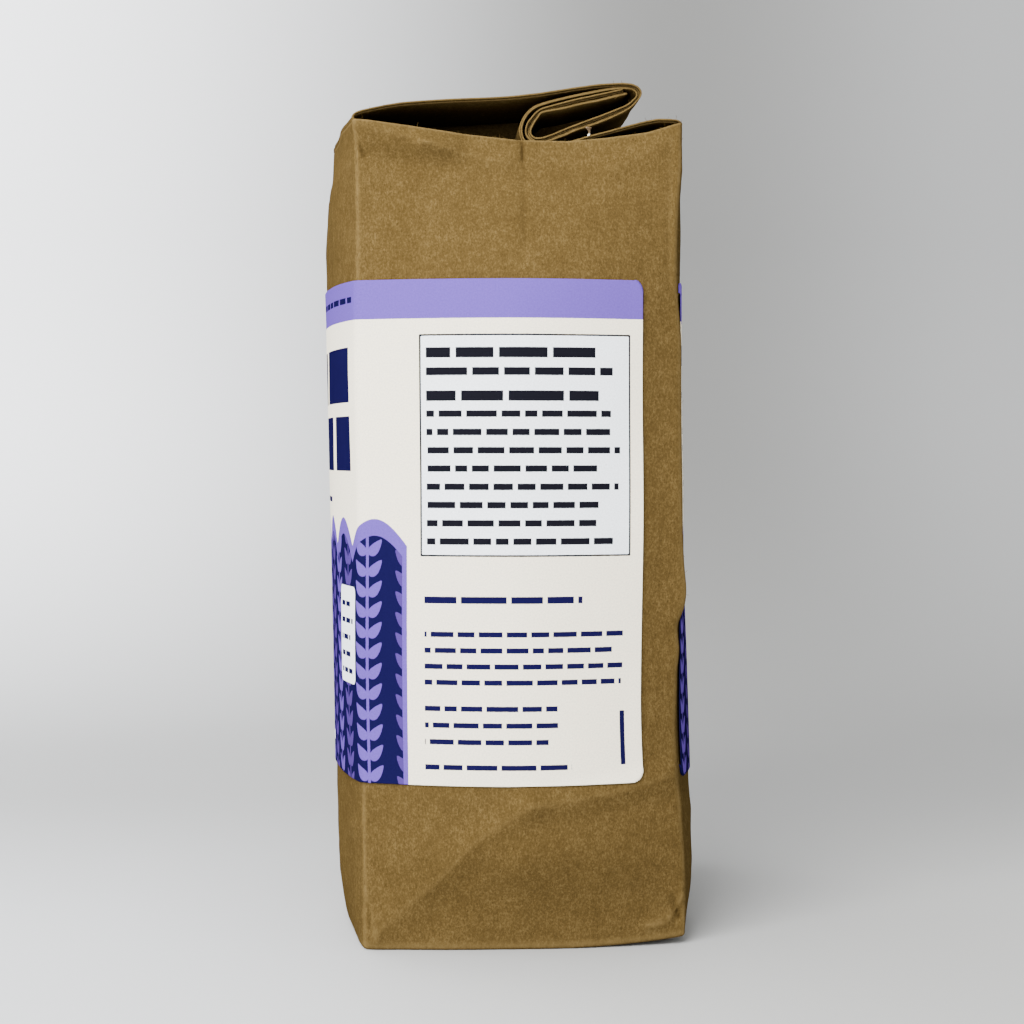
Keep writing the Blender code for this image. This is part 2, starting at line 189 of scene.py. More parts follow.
def tuck(y, z):
    """Valley down the middle of a gusset, deepest at its top fold."""
    return TUCK_DEPTH * past(z, SHOULDER / MM - 26, 26) * swell(y / HALF_DEPTH, 1.2)


def fill_out(points):
    """Moves points of the flat-walled bag to where the filled bag has them."""
    x, y, z = np.array(points, float).T
    side = np.where(x >= 0, 1.0, -1.0)
    lean = TAPER * (1 - clamp(z / SHOULDER))
    across = swell(x / HALF_WIDTH, PANEL_FULLNESS)
    along = swell(y / HALF_DEPTH, GUSSET_FULLNESS)
    back_from = np.where(z > TOP_LEVEL, ROLL_DEPTH, 0.0)
    to_front = ease((-y - STILL_DEPTH) / (HALF_DEPTH - STILL_DEPTH))
    to_back = ease((y - back_from) / (HALF_DEPTH - back_from))
    to_side = ease((np.abs(x) - STILL_WIDTH) / (HALF_WIDTH - STILL_WIDTH))
    # The front panel is fuller at its foot than the back one, and less square near its top
    front = swell(x / HALF_WIDTH, PANEL_FULLNESS - past(z, 191, 13))
    front = front * panel_rise(z, FRONT_BULGE, SHOULDER, FRONT_AT_FOOT)
    back = across * panel_rise(z, BACK_BULGE, BACK_CHANGE, BACK_AT_FOOT)
    back = back + (1 - across) * BACK_SPREAD * (1 - past(z, 0, 64))
    back = back - BACK_LEAN * past(z, 110, SHOULDER / MM - 110)
    # The lower back corner of the near gusset is knocked in
    corner = np.sqrt((x - HALF_WIDTH) ** 2 + (y - HALF_DEPTH) ** 2 + z ** 2)
    dent = (1 - clamp(corner / DENT_REACH)) ** 2
    new_x = x + side * to_side * (along * gusset_rise(z) - tuck(y, z) - lean) - DENT_IN * dent
    new_y = y + to_back * (back - lean) - to_front * (front - lean) + CENTRING
    new_z = z + DENT_UP * dent + BOTTOM_FOLDS * past(z, 0, 12)
    return np.stack([new_x, new_y, new_z], axis=1)


middle = fill_out([(0, -HALF_DEPTH, 0.16), (0, HALF_DEPTH, 0.16)])
print("depth at the middle of the panels:", round((middle[1, 1] - middle[0, 1]) / MM, 1), "mm")

# %% [markdown]
# ## Creases and small dents
#
# The bag was sold flat, and the folds that it had then still show as ridges when it stands up: a
# level one across each gusset near the foot, and slanting ones to the corners. The paper is also
# dented a little everywhere. A crease is a line with a height and a width: a point gets as much of
# the height as it is near the line. Along some lines the fibres are rubbed pale, and along others
# shade is painted into the paper's colour, so each crease also leaves a mark in an attribute that
# the paper's material reads.

# %% Creases
# Each has points along it (place across the wall, height), relief and half width in mm, and how far
# it is rubbed pale, below 0 how much shade is painted along it
GUSSET_CREASES = [
    ([(40.5, 42.0), (22.4, 38.2), (2.3, 35.5)], 1.1, 5.5, 0.6),
    ([(2.3, 35.5), (-11.3, 26.8), (-22.7, 14.9), (-38.2, 3.5)], 1.1, 6.5, 0.5),
    ([(31.0, 3.8), (36.5, 4.6), (40.5, 9.5)], 0.7, 1.8, 1.3),
    ([(38.2, 8.0), (39.6, 5.2)], -1.2, 1.9, -2.0),
    ([(-41.0, 14.0), (-39.3, 8.0), (-38.0, 2.5)], 0.5, 2.2, 0.9),
    ([(-40.0, 9.5), (-39.6, 5.0)], -0.5, 1.2, -1.0),
    ([(2.3, 36.5), (-18.0, 37.2), (-40.0, 38.5)], 0.15, 4.0, 0.12),
    ([(25.8, 16.3), (39.2, 3.5)], -0.45, 5.0, 0.25),
    ([(2.3, 36.5), (14.0, 26.0), (25.8, 16.3)], 0.18, 5.0, 0.12),
    ([(-41.5, 207.3), (-31.0, 204.2), (-20.0, 201.3)], 3.0, 7.5, 0.4),
    ([(-24.0, 202.3), (-14.8, 199.9), (-4.0, 197.5)], 1.2, 4.0, 0.3),
    ([(-41.0, 199.0), (-30.0, 197.5), (-20.0, 196.0)], -0.7, 4.5, -0.1),
    ([(-40.4, 201.6), (-39.3, 199.0)], -0.5, 1.2, -1.6),
    ([(41.0, 206.0), (33.0, 200.0), (24.0, 196.0)], 0.45, 5.0, 0.2),
    ([(38.6, 204.0), (38.9, 190.0), (39.4, 168.0)], -0.35, 1.6, 0.35),
    ([(0.9, 204.0), (1.3, 197.0), (0.8, 189.0), (1.2, 176.0)], -0.4, 1.4, -0.5),
    ([(0.2, 204.5), (0.9, 201.5), (1.3, 198.0)], -0.4, 1.0, -1.0),
]
PANEL_CREASES = [
    ([(-60.0, 196.0), (-20.0, 192.0), (15.0, 193.5), (61.0, 198.0)], 0.35, 7.0, 0.15),
    ([(-61.0, 34.0), (-38.0, 30.0), (-14.0, 22.0)], 0.4, 7.0, 0.25),
    ([(61.0, 30.0), (42.0, 24.0), (30.0, 12.0)], 0.45, 7.0, 0.3),
    ([(8.0, 207.0), (11.0, 190.0), (4.0, 176.0)], -0.3, 4.0, -0.1),
]


# Broad dents in the wall: everywhere, and more where no label holds the paper
DENTS = 0.10 * MM
MORE_DENTS = 0.30 * MM
print(len(GUSSET_CREASES) + len(PANEL_CREASES), "creases drawn on the walls")


# %% How a crease or a dent moves the wall
def line_distance(u, v, points):
    """Distance from every (u, v) to a line of straight pieces, in metres."""
    nearest = np.full(u.shape, 1e9)
    for (u0, v0), (u1, v1) in zip(np.array(points[:-1]) * MM, np.array(points[1:]) * MM):
        du, dv = u1 - u0, v1 - v0
        share = clamp(((u - u0) * du + (v - v0) * dv) / (du * du + dv * dv))
        nearest = np.minimum(nearest, np.hypot(u - u0 - share * du, v - v0 - share * dv))
    return nearest


def undulation(u, v, seed, longest, count=14):
    """Gentle unevenness between -1 and 1: waves in random directions, each shorter and lower."""
    chance = np.random.default_rng(seed)
    total = np.zeros(u.shape)
    weight = 0.0
    for i in range(count):
        turn = chance.uniform(0, math.tau)
        share = 0.86 ** i
        size = longest * share
        total += share * np.cos((u * math.cos(turn) + v * math.sin(turn)) * math.tau / size
                                + chance.uniform(0, math.tau))
        weight += share * share
    return total / math.sqrt(weight / 2) / 2.4


def wall_relief(u, v, half, creases, seed):
    """How far a wall's small folds move each point out, and how pale the paper is rubbed there, below 0 how
    much shade is painted there.
    """
    inside = clamp((half - np.abs(u)) / (7 * MM))
    bare = 1 - past(v, 30, 20) * (1 - past(v, 160, 20))
    out = (DENTS + MORE_DENTS * bare) * undulation(u, v, seed, 60 * MM) * ease(inside)
    wear_and_shade = np.zeros(u.shape)
    for points, relief, reach, rub_and_shade in creases:
        away = line_distance(u, v, points)
        out = out + relief * MM * clamp(1 - away / (reach * MM)) ** 1.3
        # A crease's mark: above 0 the fibres are rubbed pale, below 0 shade is painted along the crease
        wear_and_shade = wear_and_shade + 0.5 * rub_and_shade * hump(away, 0, 0.5)
    return out * np.minimum(1.0, 0.5 + inside), wear_and_shade


middle_out = wall_relief(np.zeros(1), np.full(1, 0.1), HALF_DEPTH, GUSSET_CREASES, 3)[0]
print("relief in the middle of a gusset:", round(middle_out[0] / MM, 2), "mm")

# %% [markdown]
# ## The paper body
#
# The four walls, the folded bottom and the floor of the folded top are one closed skin. It is a grid
# wrapped round a box: the columns of the two wide panels and of the two gussets meet at the corners,
# and close under the top as an ordinary grid. The columns stand closer together near the corners,
# because that is where the paper turns. Building the grid from numpy arrays keeps every row level,
# so that a crease or a label edge can be placed by its measured height.

# %% Columns and rows of the body
FINE = np.array([0.0, 0.25, 0.5, 0.8, 1.15, 1.6, 2.2, 3.0]) * MM


def stations(half, step):
    """Places across a wall: close together near its two corners, then even."""
    inner = half - FINE[-1] - step
    even = np.linspace(-inner, inner, 2 * int(round(inner / step)) + 1)
    return np.concatenate([-half + FINE, even, half - FINE[::-1]])


xs = stations(HALF_WIDTH, 2.1 * MM)
ys = stations(HALF_DEPTH, 1.0 * MM)
low_rows = np.array([0.0, 0.12, 0.35, 0.7, 1.15, 1.6, 2.2, 3.0]) * MM
row_heights = np.concatenate([low_rows, np.linspace(4.1 * MM, SHOULDER - 1.2 * MM, 186),
                              SHOULDER - np.array([0.7, 0.35, 0.0]) * MM])
print(len(xs), "columns on a panel,", len(ys), "on a gusset,", len(row_heights), "rows")


# %% From a flat grid to the paper
CORNER_SWAY = 0.2 * MM
RIDGE = 0.7 * MM
RIDGE_WAVE = 0.9 * MM
BACK_TOP_OUT = 1.3 * MM
FRONT_TOP_OUT = 0.8 * MM


def round_plan(x, y):
    """Rounds the four upright edges of the flat-walled bag, and less and less further in."""
    inset = np.minimum(HALF_WIDTH - np.abs(x), HALF_DEPTH - np.abs(y))
    radius = np.maximum(CORNER - inset, 1e-9)
    wide, deep = HALF_WIDTH - inset, HALF_DEPTH - inset
    on_gusset = np.abs(x) > wide - 1e-9
    from_corner = np.where(on_gusset, deep - np.abs(y), wide - np.abs(x))
    share = clamp(from_corner / radius)
    angle = np.radians(np.where(on_gusset, 45 - 45 * share, 45 + 45 * share))
    turned = (from_corner < radius) & (radius > 1e-6)
    new_x = np.where(turned, wide - radius + radius * np.cos(angle), np.abs(x))
    new_y = np.where(turned, deep - radius + radius * np.sin(angle), np.abs(y))
    return new_x * np.sign(x), new_y * np.sign(y)


def wander(points):
    """Lets the four upright corners stray a little from straight, as folded paper does."""
    x, y, z = points.T.copy()
    away = np.maximum(HALF_WIDTH - np.abs(x), HALF_DEPTH - np.abs(y))
    broad = hump(away, 0, 14)
    narrow = hump(away, 0, 2.6)
    walls = past(z, 0, 25) * (1 - past(z, 175, 25))
    corner = np.where(x > 0, 1.0, 2.0) + np.where(y > 0, 4.0, 0.0)
    sway = np.sin(z / (19 * MM) + 1.7 * corner) + 0.6 * np.sin(z / (7.1 * MM) + 2.3 * corner)
    points[:, 0] += broad * walls * CORNER_SWAY * sway
    points[:, 1] += broad * walls * CORNER_SWAY * np.cos(z / (13 * MM) + corner) * np.sign(y)
    # The corner between the gusset and the back panel is pinched out into a ridge with a wavy edge
    pinched = past(z, 52, 12) * (1 - past(z, 150, 18)) * (0.6 + 1.25 * past(z, 76, 7))
    pinched = pinched + 0.75 * hump(z, 93, 9)
    wave = hump(z, 88, 5.5) - 0.9 * hump(z, 80.5, 2.6) + 0.6 * hump(z, 73.5, 3.6)
    points[:, 1] += np.where(y > 0, narrow * (RIDGE * pinched + RIDGE_WAVE * wave), 0.0)
    # Near the top the back corners stand out a little, and the front ones are squashed outwards
    points[:, 1] += broad * past(y, 30, 8) * past(z, 176, 26) * BACK_TOP_OUT
    points[:, 1] -= np.where(y < 0, narrow * FRONT_TOP_OUT * past(z, 200.5, 7), 0.0)
    return points


def paper_points(x, y, z):
    """Where points of the flat-walled bag end up, and how pale the paper is rubbed at each, below 0 how much
    shade is painted there.
    """
    on_gusset = np.abs(x) > HALF_WIDTH - 1e-6
    on_panel = np.abs(y) > HALF_DEPTH - 1e-6
    relief = np.zeros((len(x), 3))
    wear_and_shade = np.zeros(len(x))
    for mask, u, half, axis, creases, seed in (
            (on_gusset & (x > 0), y, HALF_DEPTH, 0, GUSSET_CREASES, 3),
            (on_gusset & (x < 0), y, HALF_DEPTH, 0, GUSSET_CREASES, 8),
            (on_panel & (y < 0), x, HALF_WIDTH, 1, PANEL_CREASES, 5),
            (on_panel & (y > 0), -x, HALF_WIDTH, 1, PANEL_CREASES, 12)):
        out, rub_and_shade = wall_relief(u[mask], z[mask], half, creases, seed)
        relief[mask, axis] += out * np.sign((x, y)[axis][mask])
        wear_and_shade[mask] += rub_and_shade
    below = BASE_TURN - np.minimum(z, BASE_TURN)
    turn = BASE_TURN - np.sqrt(np.maximum(BASE_TURN ** 2 - below ** 2, 0))
    flat_x, flat_y = round_plan(x, y)
    flat_x = flat_x * (1 - turn / HALF_WIDTH)
    flat_y = flat_y * (1 - turn / HALF_DEPTH)
    points = fill_out(np.stack([flat_x, flat_y, z], axis=1)) + relief
    flat = np.stack([x, y, z], axis=1)
    moved = wander(flat.copy()) - flat
    from_corner = np.maximum(HALF_WIDTH - np.abs(x), HALF_DEPTH - np.abs(y))
    wear_and_shade += 0.55 * hump(from_corner, 0, 0.7)
    wear_and_shade += 0.45 * hump(z, 1.0, 0.9)
    return points + moved, wear_and_shade


heights = np.array([0.0, 0.1, 0.2])
corner = paper_points(np.full(3, HALF_WIDTH), np.full(3, HALF_DEPTH), heights)[0]
print("a back corner at three heights, in mm:", np.round(corner / MM, 1).tolist())

# %% [markdown]
# Under the flaps the two gussets are folded in, which leaves a dark space at each end. The closed
# skin has that space in its top: near the ends it follows the gussets' top fold, and further in it
# rises to meet the flaps. Seen from the photograph's side, the eye looks up into it.

# %% The top of the skin
# Edges of the folded top, seen end-on: y and z in mm
FRONT_ROOF = [(-41.25, 208.2), (-38.2, 210.6), (-28.2, 212.3), (-14.0, 213.1), (2.6, 214.2)]
BACK_ROOF = [(2.8, 202.6), (12.0, 203.1), (18.4, 204.6), (33.7, 208.3), (37.6, 208.5), (41.25, 208.0)]
GUSSET_EDGE = [(-41.25, 208.0), (-28.2, 206.6), (-14.7, 204.9), (0.2, 203.4), (12.3, 203.2),
               (22.4, 204.1), (32.4, 205.4), (38.6, 207.3), (41.25, 207.9)]
ROOFS_MEET = 2.7 * MM
UNDER_FLAPS = 0.6 * MM
POCKET_FLAT = 30 * MM
POCKET_RISE = 9 * MM
BEND_FROM = 190 * MM


def height_on(line, y):
    """Height of a (y, z) line in mm at every y, all in metres."""
    ys, zs = zip(*line)
    return np.interp(y / MM, ys, zs) * MM


def lid_height(x, y):
    """Height of the skin's top: the gussets' fold at the ends, just under the flaps in the middle."""
    low = height_on(GUSSET_EDGE, y)
    roof = np.where(y < ROOFS_MEET, height_on(FRONT_ROOF, y), height_on(BACK_ROOF, y)) - UNDER_FLAPS
    far_in = ease((HALF_WIDTH - np.abs(x) - POCKET_FLAT) / POCKET_RISE)
    return low + far_in * np.maximum(roof - low, -0.4 * MM)


fold = lid_height(np.array([HALF_WIDTH]), np.zeros(1))[0]
print("the middle of a gusset's top fold is at", round(fold / MM, 1), "mm")


# %% Helpers for meshes
def mesh_object(name, points, faces):
    mesh = bpy.data.meshes.new(name)
    mesh.from_pydata(np.asarray(points).tolist(), [], faces)
    mesh.validate()
    return put_in_scene(name, mesh)


def mark(obj, name, values):
    """Writes one number for each vertex as an attribute that a material can read."""
    attribute = obj.data.attributes.new(name, "FLOAT", "POINT")
    attribute.data.foreach_set("value", np.asarray(values, np.float32))


def soften(obj, degrees=40):
    """Smooth shading that still breaks at real folds."""
    bm = bmesh.new()
    bm.from_mesh(obj.data)
    for face in bm.faces:
        face.smooth = True
    for edge in bm.edges:
        edge.smooth = len(edge.link_faces) != 2 or edge.calc_face_angle() < math.radians(degrees)
    bm.to_mesh(obj.data)
    bm.free()


print("mesh helpers are ready")


# %% Build the body
def build_body():
    nx, ny = len(xs), len(ys)
    ring = [(nx - 1, j) for j in range(ny - 1, 0, -1)] + [(i, 0) for i in range(nx - 1, 0, -1)]
    ring += [(0, j) for j in range(ny - 1)] + [(i, ny - 1) for i in range(nx - 1)]
    around = len(ring)
    ring_x = np.array([xs[i] for i, _ in ring])
    ring_y = np.array([ys[j] for _, j in ring])
    top = lid_height(ring_x, ring_y)
    x, y, z = [], [], []
    for height in row_heights:
        share = max(height - BEND_FROM, 0.0) / (SHOULDER - BEND_FROM)
        x.append(ring_x)
        y.append(ring_y)
        z.append(min(height, BEND_FROM) + share * (top - BEND_FROM))
    inner_x, inner_y = np.meshgrid(xs[1:-1], ys[1:-1], indexing="ij")
    inner_x, inner_y = inner_x.ravel(), inner_y.ravel()
    for heights in (np.zeros(len(inner_x)), lid_height(inner_x, inner_y)):
        x.append(inner_x)
        y.append(inner_y)
        z.append(heights)
    x, y, z = (np.concatenate(part) for part in (x, y, z))
    points, wear_and_shade = paper_points(x, y, z)

    faces = []
    rows = len(row_heights)
    for r in range(rows - 1):
        for k in range(around):
            after = (k + 1) % around
            faces.append((r * around + after, r * around + k,
                          (r + 1) * around + k, (r + 1) * around + after))
    for which, last_row in ((0, 0), (1, rows - 1)):
        first = rows * around + which * (nx - 2) * (ny - 2)
        index = np.zeros((nx, ny), int)
        index[1:-1, 1:-1] = first + np.arange((nx - 2) * (ny - 2)).reshape(nx - 2, ny - 2)
        for k, (i, j) in enumerate(ring):
            index[i, j] = last_row * around + k
        for i in range(nx - 1):
            for j in range(ny - 1):
                face = (index[i, j], index[i + 1, j], index[i + 1, j + 1], index[i, j + 1])
                faces.append(tuple(int(v) for v in (face if which else face[::-1])))
    # The top fold is rubbed pale, and so is the row below it, but less
    wear_and_shade[(rows - 1) * around:rows * around] += 0.8
    wear_and_shade[(rows - 2) * around:(rows - 1) * around] += 0.45
    body = mesh_object("paper_body", points, faces)
    mark(body, "wear_and_shade", wear_and_shade)
    soften(body)
    return body


paper_body = build_body()
print("paper body:", len(paper_body.data.polygons), "faces")

# %% [markdown]
# ## Kraft paper
#
# Unbleached paper is a felt of wood fibres. From arm's length it is an even tan, but close up it is
# cloudy where the pulp lay thicker, and full of short fibres, some pale and some dark, mostly lying
# in the direction in which the paper was made. Where it has been folded the surface fibres break and
# look pale. All of it is worked out from Object coordinates, so nothing stretches at a corner. The
# fibres are a shader node group, because the walls, the flaps and the stray fibres all use it: it
# gives a colour, a height and a roughness, and each material has its own shader.

# %% Helpers for node trees
def add(tree, kind, inputs=None, **settings):
    """Adds a node, sets its options, and links or sets its inputs."""
    made = tree.nodes.new(kind)
    for key, value in settings.items():
        setattr(made, key, value)
    for key, value in (inputs or {}).items():
        if isinstance(value, bpy.types.NodeSocket):
            tree.links.new(value, made.inputs[key])
        else:
            made.inputs[key].default_value = value
    return made


def maths(tree, operation, *values):
    node = add(tree, "ShaderNodeMath", dict(enumerate(values)), operation=operation)
    return node.outputs[0]


def times(tree, first, second):
    return maths(tree, "MULTIPLY", first, second)


def plus(tree, first, second):
    return maths(tree, "ADD", first, second)


def minus(tree, first, second):
    return maths(tree, "SUBTRACT", first, second)


def vector(tree, operation, first, second=(0, 0, 0)):
    return add(tree, "ShaderNodeVectorMath", {0: first, 1: second}, operation=operation).outputs[0]


print("node helpers are ready")


# %% Helpers for node groups
def new_group(name, inputs, outputs):
    """An empty shader node group with named sockets: each input is (name, kind, starting value)."""
    group = bpy.data.node_groups.new(name, "ShaderNodeTree")
    for socket, kind, value in inputs:
        made = group.interface.new_socket(socket, in_out="INPUT", socket_type=kind)
        if value is not None:
            made.default_value = value
    for socket, kind in outputs:
        group.interface.new_socket(socket, in_out="OUTPUT", socket_type=kind)
    return group, group.nodes.new("NodeGroupInput").outputs, group.nodes.new("NodeGroupOutput").inputs


def noise(group, place, size, detail, stretch=(1, 1, 1), turn=(0, 0, 0), roughness=0.6):
    """Noise whose features are about the given size in metres, longer where stretch is above 1."""
    mapping = add(group, "ShaderNodeMapping", {"Vector": place, "Rotation": turn,
                                               "Scale": [1 / s for s in stretch]}, vector_type="POINT")
    made = add(group, "ShaderNodeTexNoise", {"Vector": mapping.outputs[0], "Scale": 1 / size,
                                             "Detail": detail, "Roughness": roughness})
    return made.outputs[0]


def ramp_between(group, value, low, high):
    """0 below low and 1 above high, smoothly."""
    return add(group, "ShaderNodeMapRange", {"Value": value, "From Min": low, "From Max": high},
               interpolation_type="SMOOTHSTEP").outputs[0]


def blend(group, share, first, second, mode="MIX"):
    """Mixes two colours."""
    made = add(group, "ShaderNodeMix", data_type="RGBA", blend_type=mode)
    for socket, value in ((made.inputs["Factor"], share), (made.inputs[6], first), (made.inputs[7], second)):
        if isinstance(value, bpy.types.NodeSocket):
            group.links.new(value, socket)
        else:
            socket.default_value = value if isinstance(value, float) else (*value, 1.0)[:4]
    return made.outputs[2]


print("group helpers are ready")

# %% Node group: paper fibres
CLOUD_SIZE = 8 * MM
MOTTLE_SIZE = 1.6 * MM
GRAIN_SIZE = 0.52 * MM
FIBRE_WIDTH = 0.26 * MM
SPECK_SIZE = 0.5 * MM


def paper_fibres_group():
    group, given, out = new_group(
        "paper fibres",
        [("Place", "NodeSocketVector", None), ("Pulp", "NodeSocketColor", None),
         ("Pale fibre", "NodeSocketColor", None), ("Dark fibre", "NodeSocketColor", None),
         ("Contrast", "NodeSocketFloat", 1.0), ("Wear and shade", "NodeSocketFloat", 0.0)],
        [("Colour", "NodeSocketColor"), ("Height", "NodeSocketFloat"), ("Roughness", "NodeSocketFloat")])
    place = given["Place"]
    cloud = noise(group, place, CLOUD_SIZE, 4)
    mottle = noise(group, place, MOTTLE_SIZE, 4, stretch=(1, 1, 1.4), roughness=0.7)
    grain = noise(group, place, GRAIN_SIZE, 3, stretch=(1, 1, 1.3), roughness=0.7)
    upright = noise(group, place, FIBRE_WIDTH, 2, stretch=(0.8, 0.8, 5.0))
    slanting = noise(group, place, FIBRE_WIDTH, 2, stretch=(0.9, 0.9, 4.5), turn=(0.9, 0.9, 0))
    level = noise(group, place, 0.28 * MM, 2, stretch=(4.5, 4.5, 0.8), turn=(0.25, 0, 0))
    cloudy = times(group, minus(group, cloud, 0.5), 0.55)
    grainy = times(group, minus(group, grain, 0.5), 2.0)
    mottled = plus(group, minus(group, mottle, 0.5), grainy)
    pale = maths(group, "MAXIMUM", ramp_between(group, upright, 0.62, 0.72),
                 ramp_between(group, slanting, 0.65, 0.74))
    pale = maths(group, "MAXIMUM", pale, ramp_between(group, level, 0.66, 0.76))
    dark = maths(group, "MAXIMUM", ramp_between(group, upright, 0.37, 0.27),
                 ramp_between(group, slanting, 0.35, 0.26))
    specks = ramp_between(group, noise(group, place, SPECK_SIZE, 1, stretch=(0.8, 0.8, 1.3)), 0.30, 0.24)
    strength = times(group, given["Contrast"], 0.5)
    tone = times(group, plus(group, cloudy, mottled), given["Contrast"])
    light = blend(group, maths(group, "MAXIMUM", tone, 0.0), given["Pulp"], given["Pale fibre"])
    shade = blend(group, maths(group, "MAXIMUM", times(group, tone, -1.0), 0.0),
                  light, given["Dark fibre"])
    pale_share = times(group, pale, times(group, strength, 0.6))
    dark_share = times(group, dark, times(group, strength, 1.35))
    fibres = blend(group, pale_share, shade, given["Pale fibre"])
    fibres = blend(group, dark_share, fibres, given["Dark fibre"])
    fibres = blend(group, times(group, specks, 0.8), fibres, given["Dark fibre"])
    # Rubbed places are broken up by the same fibres, so a worn fold looks torn rather than painted
    broken = plus(group, 0.45, mottle)
    worn = add(group, "ShaderNodeClamp", {"Value": times(group, given["Wear and shade"], broken)})
    # Below 0 the mark paints shade into the creases: the colour goes towards the dark fibre
    painted_crease_shade = add(group, "ShaderNodeClamp", {"Value": times(group, given["Wear and shade"], -1.0)})
    colour = blend(group, times(group, worn.outputs[0], 0.75), fibres, given["Pale fibre"])
    colour = blend(group, painted_crease_shade.outputs[0], colour, given["Dark fibre"])
    group.links.new(colour, out["Colour"])
    bumps = plus(group, times(group, mottle, 0.8), times(group, grain, 0.7))
    bumps = plus(group, bumps, times(group, slanting, 0.4))
    bumps = plus(group, bumps, times(group, cloud, 0.8))
    group.links.new(bumps, out["Height"])
    rough = plus(group, 0.70, times(group, mottle, 0.22))
    group.links.new(rough, out["Roughness"])
    return group


paper_fibres = paper_fibres_group()
print("paper fibres:", len(paper_fibres.nodes), "nodes")


# %% Kraft paper materials
def new_material(name):
    material = bpy.data.materials.new(name)
    material.use_nodes = True
    tree = material.node_tree
    return material, tree, tree.nodes["Principled BSDF"]


PULP = (0.0690, 0.0438, 0.0137)
PALE_FIBRE = (0.150, 0.1005, 0.0380)
DARK_FIBRE = (0.0284, 0.0169, 0.0048)
FIBRE_HEIGHT = 0.12 * MM


def kraft_material():
    """Quite matt: loose fibres scatter the light, and a gloss would wash out the walls seen aslant."""
    material, tree, shader = new_material("kraft_paper")
    material.diffuse_color = (*PULP, 1.0)
    place = add(tree, "ShaderNodeTexCoord").outputs["Object"]
    # The creases' mark: pale wear above 0, painted shade below 0
    wear_and_shade = add(tree, "ShaderNodeAttribute", attribute_name="wear_and_shade").outputs["Fac"]
    fibres = add(tree, "ShaderNodeGroup", node_tree=paper_fibres)
    tree.links.new(place, fibres.inputs["Place"])
    tree.links.new(wear_and_shade, fibres.inputs["Wear and shade"])
    for name, colour in (("Pulp", PULP), ("Pale fibre", PALE_FIBRE), ("Dark fibre", DARK_FIBRE)):
        fibres.inputs[name].default_value = (*colour, 1.0)
    tree.links.new(fibres.outputs["Colour"], shader.inputs["Base Color"])
    tree.links.new(fibres.outputs["Roughness"], shader.inputs["Roughness"])
    bumps = add(tree, "ShaderNodeBump", {"Strength": 0.35, "Distance": FIBRE_HEIGHT,
                                         "Height": fibres.outputs["Height"]})
    tree.links.new(bumps.outputs[0], shader.inputs["Normal"])
    shader.inputs["Specular IOR Level"].default_value = 0.0
    return material


kraft_paper = kraft_material()
paper_body.data.materials.append(kraft_paper)
print("kraft paper on", paper_body.name)

# %% [markdown]
# ## The rolled top
#
# Above the front edge the paper lies back over the gussets, then turns about four corners: it is
# rolled. Seen from the end this is one long line, so it is drawn as a line of a few measured points
# made smooth. A sheet that follows a line is a job for Geometry Nodes: a grid is laid out flat, and
# each of its rows is carried to its own place along the line. The tree has its sizes as inputs, so
# both flaps share it. The bag has two plies, so each flap is laid twice, the inner ply a little short.

# %% Lines of the two flaps, seen from the end: y and z in mm
FRONT_FLAP = [
    (-39.8, 206.4), (-40.5, 207.4), (-40.84, 208.1), (-41.0, 208.8), (-40.6, 209.4), (-39.6, 209.9),
    (-38.2, 210.4), (-35.0, 211.2), (-31.5, 211.9), (-28.2, 212.4), (-18.1, 213.3), (-8.0, 213.9),
    (-1.3, 214.4), (5.5, 215.1), (15.6, 216.7), (22.4, 217.4), (27.6, 217.4),
    (29.9, 216.7), (30.8, 215.6), (30.4, 214.2), (27.9, 211.7), (24.2, 209.8), (19.1, 207.8),
    (14.8, 206.4), (11.5, 205.0), (7.0, 203.4), (4.6, 203.1), (2.9, 204.0), (2.1, 205.7),
    (2.5, 207.7), (3.6, 209.2), (4.7, 210.5), (6.4, 211.5), (11.5, 212.8), (16.6, 214.0),
    (21.6, 215.1), (26.4, 216.1)]
BACK_FLAP = [
    (40.3, 206.3), (40.95, 207.3), (41.22, 207.95), (40.8, 208.4), (39.6, 208.7), (36.9, 208.9),
    (33.7, 208.7), (26.0, 206.8),
    (18.4, 204.8), (13.0, 203.3), (7.5, 202.5), (3.8, 202.4), (1.7, 203.7), (1.0, 206.3),
    (1.8, 208.9), (3.6, 211.1), (6.2, 212.4), (11.5, 213.75), (18.4, 215.25), (23.5, 216.15),
    (27.6, 216.4), (29.4, 215.8), (29.9, 214.9), (29.1, 213.9), (27.4, 212.5), (24.6, 211.3),
    (18.4, 209.0), (12.2, 206.7), (7.6, 204.8), (5.4, 204.2), (4.0, 204.4), (3.2, 205.6),
    (4.0, 207.7), (5.2, 209.4), (6.3, 210.5), (11.5, 211.4), (15.7, 212.4), (21.6, 213.6),
    (27.6, 215.1)]


def smooth_line(points, every=0.45):
    """A rounded line through all the points (Catmull-Rom), with a point every so many mm."""
    points = np.array(points)
    padded = np.vstack([2 * points[0] - points[1], points, 2 * points[-1] - points[-2]])
    line = []
    for p0, p1, p2, p3 in zip(padded, padded[1:], padded[2:], padded[3:]):
        count = max(2, int(np.hypot(*(p2 - p1)) / every))
        t = np.linspace(0, 1, count, endpoint=False)[:, None]
        line.append(0.5 * (2 * p1 + (p2 - p0) * t + (2 * p0 - 5 * p1 + 4 * p2 - p3) * t ** 2
                           + (3 * p1 - p0 - 3 * p2 + p3) * t ** 3))
    line.append(points[-1:])
    return np.concatenate(line)


print("front flap", len(smooth_line(FRONT_FLAP)), "points, back flap", len(smooth_line(BACK_FLAP)))


# %% A Geometry Nodes tree that lays a sheet along a line
END_RUBBED = 0.4


def socket_id(tree, name):
    """Identifier of a tree's input, which is what a modifier knows it by."""
    return next(item.identifier for item in tree.interface.items_tree
                if item.item_type == "SOCKET" and item.in_out == "INPUT" and item.name == name)


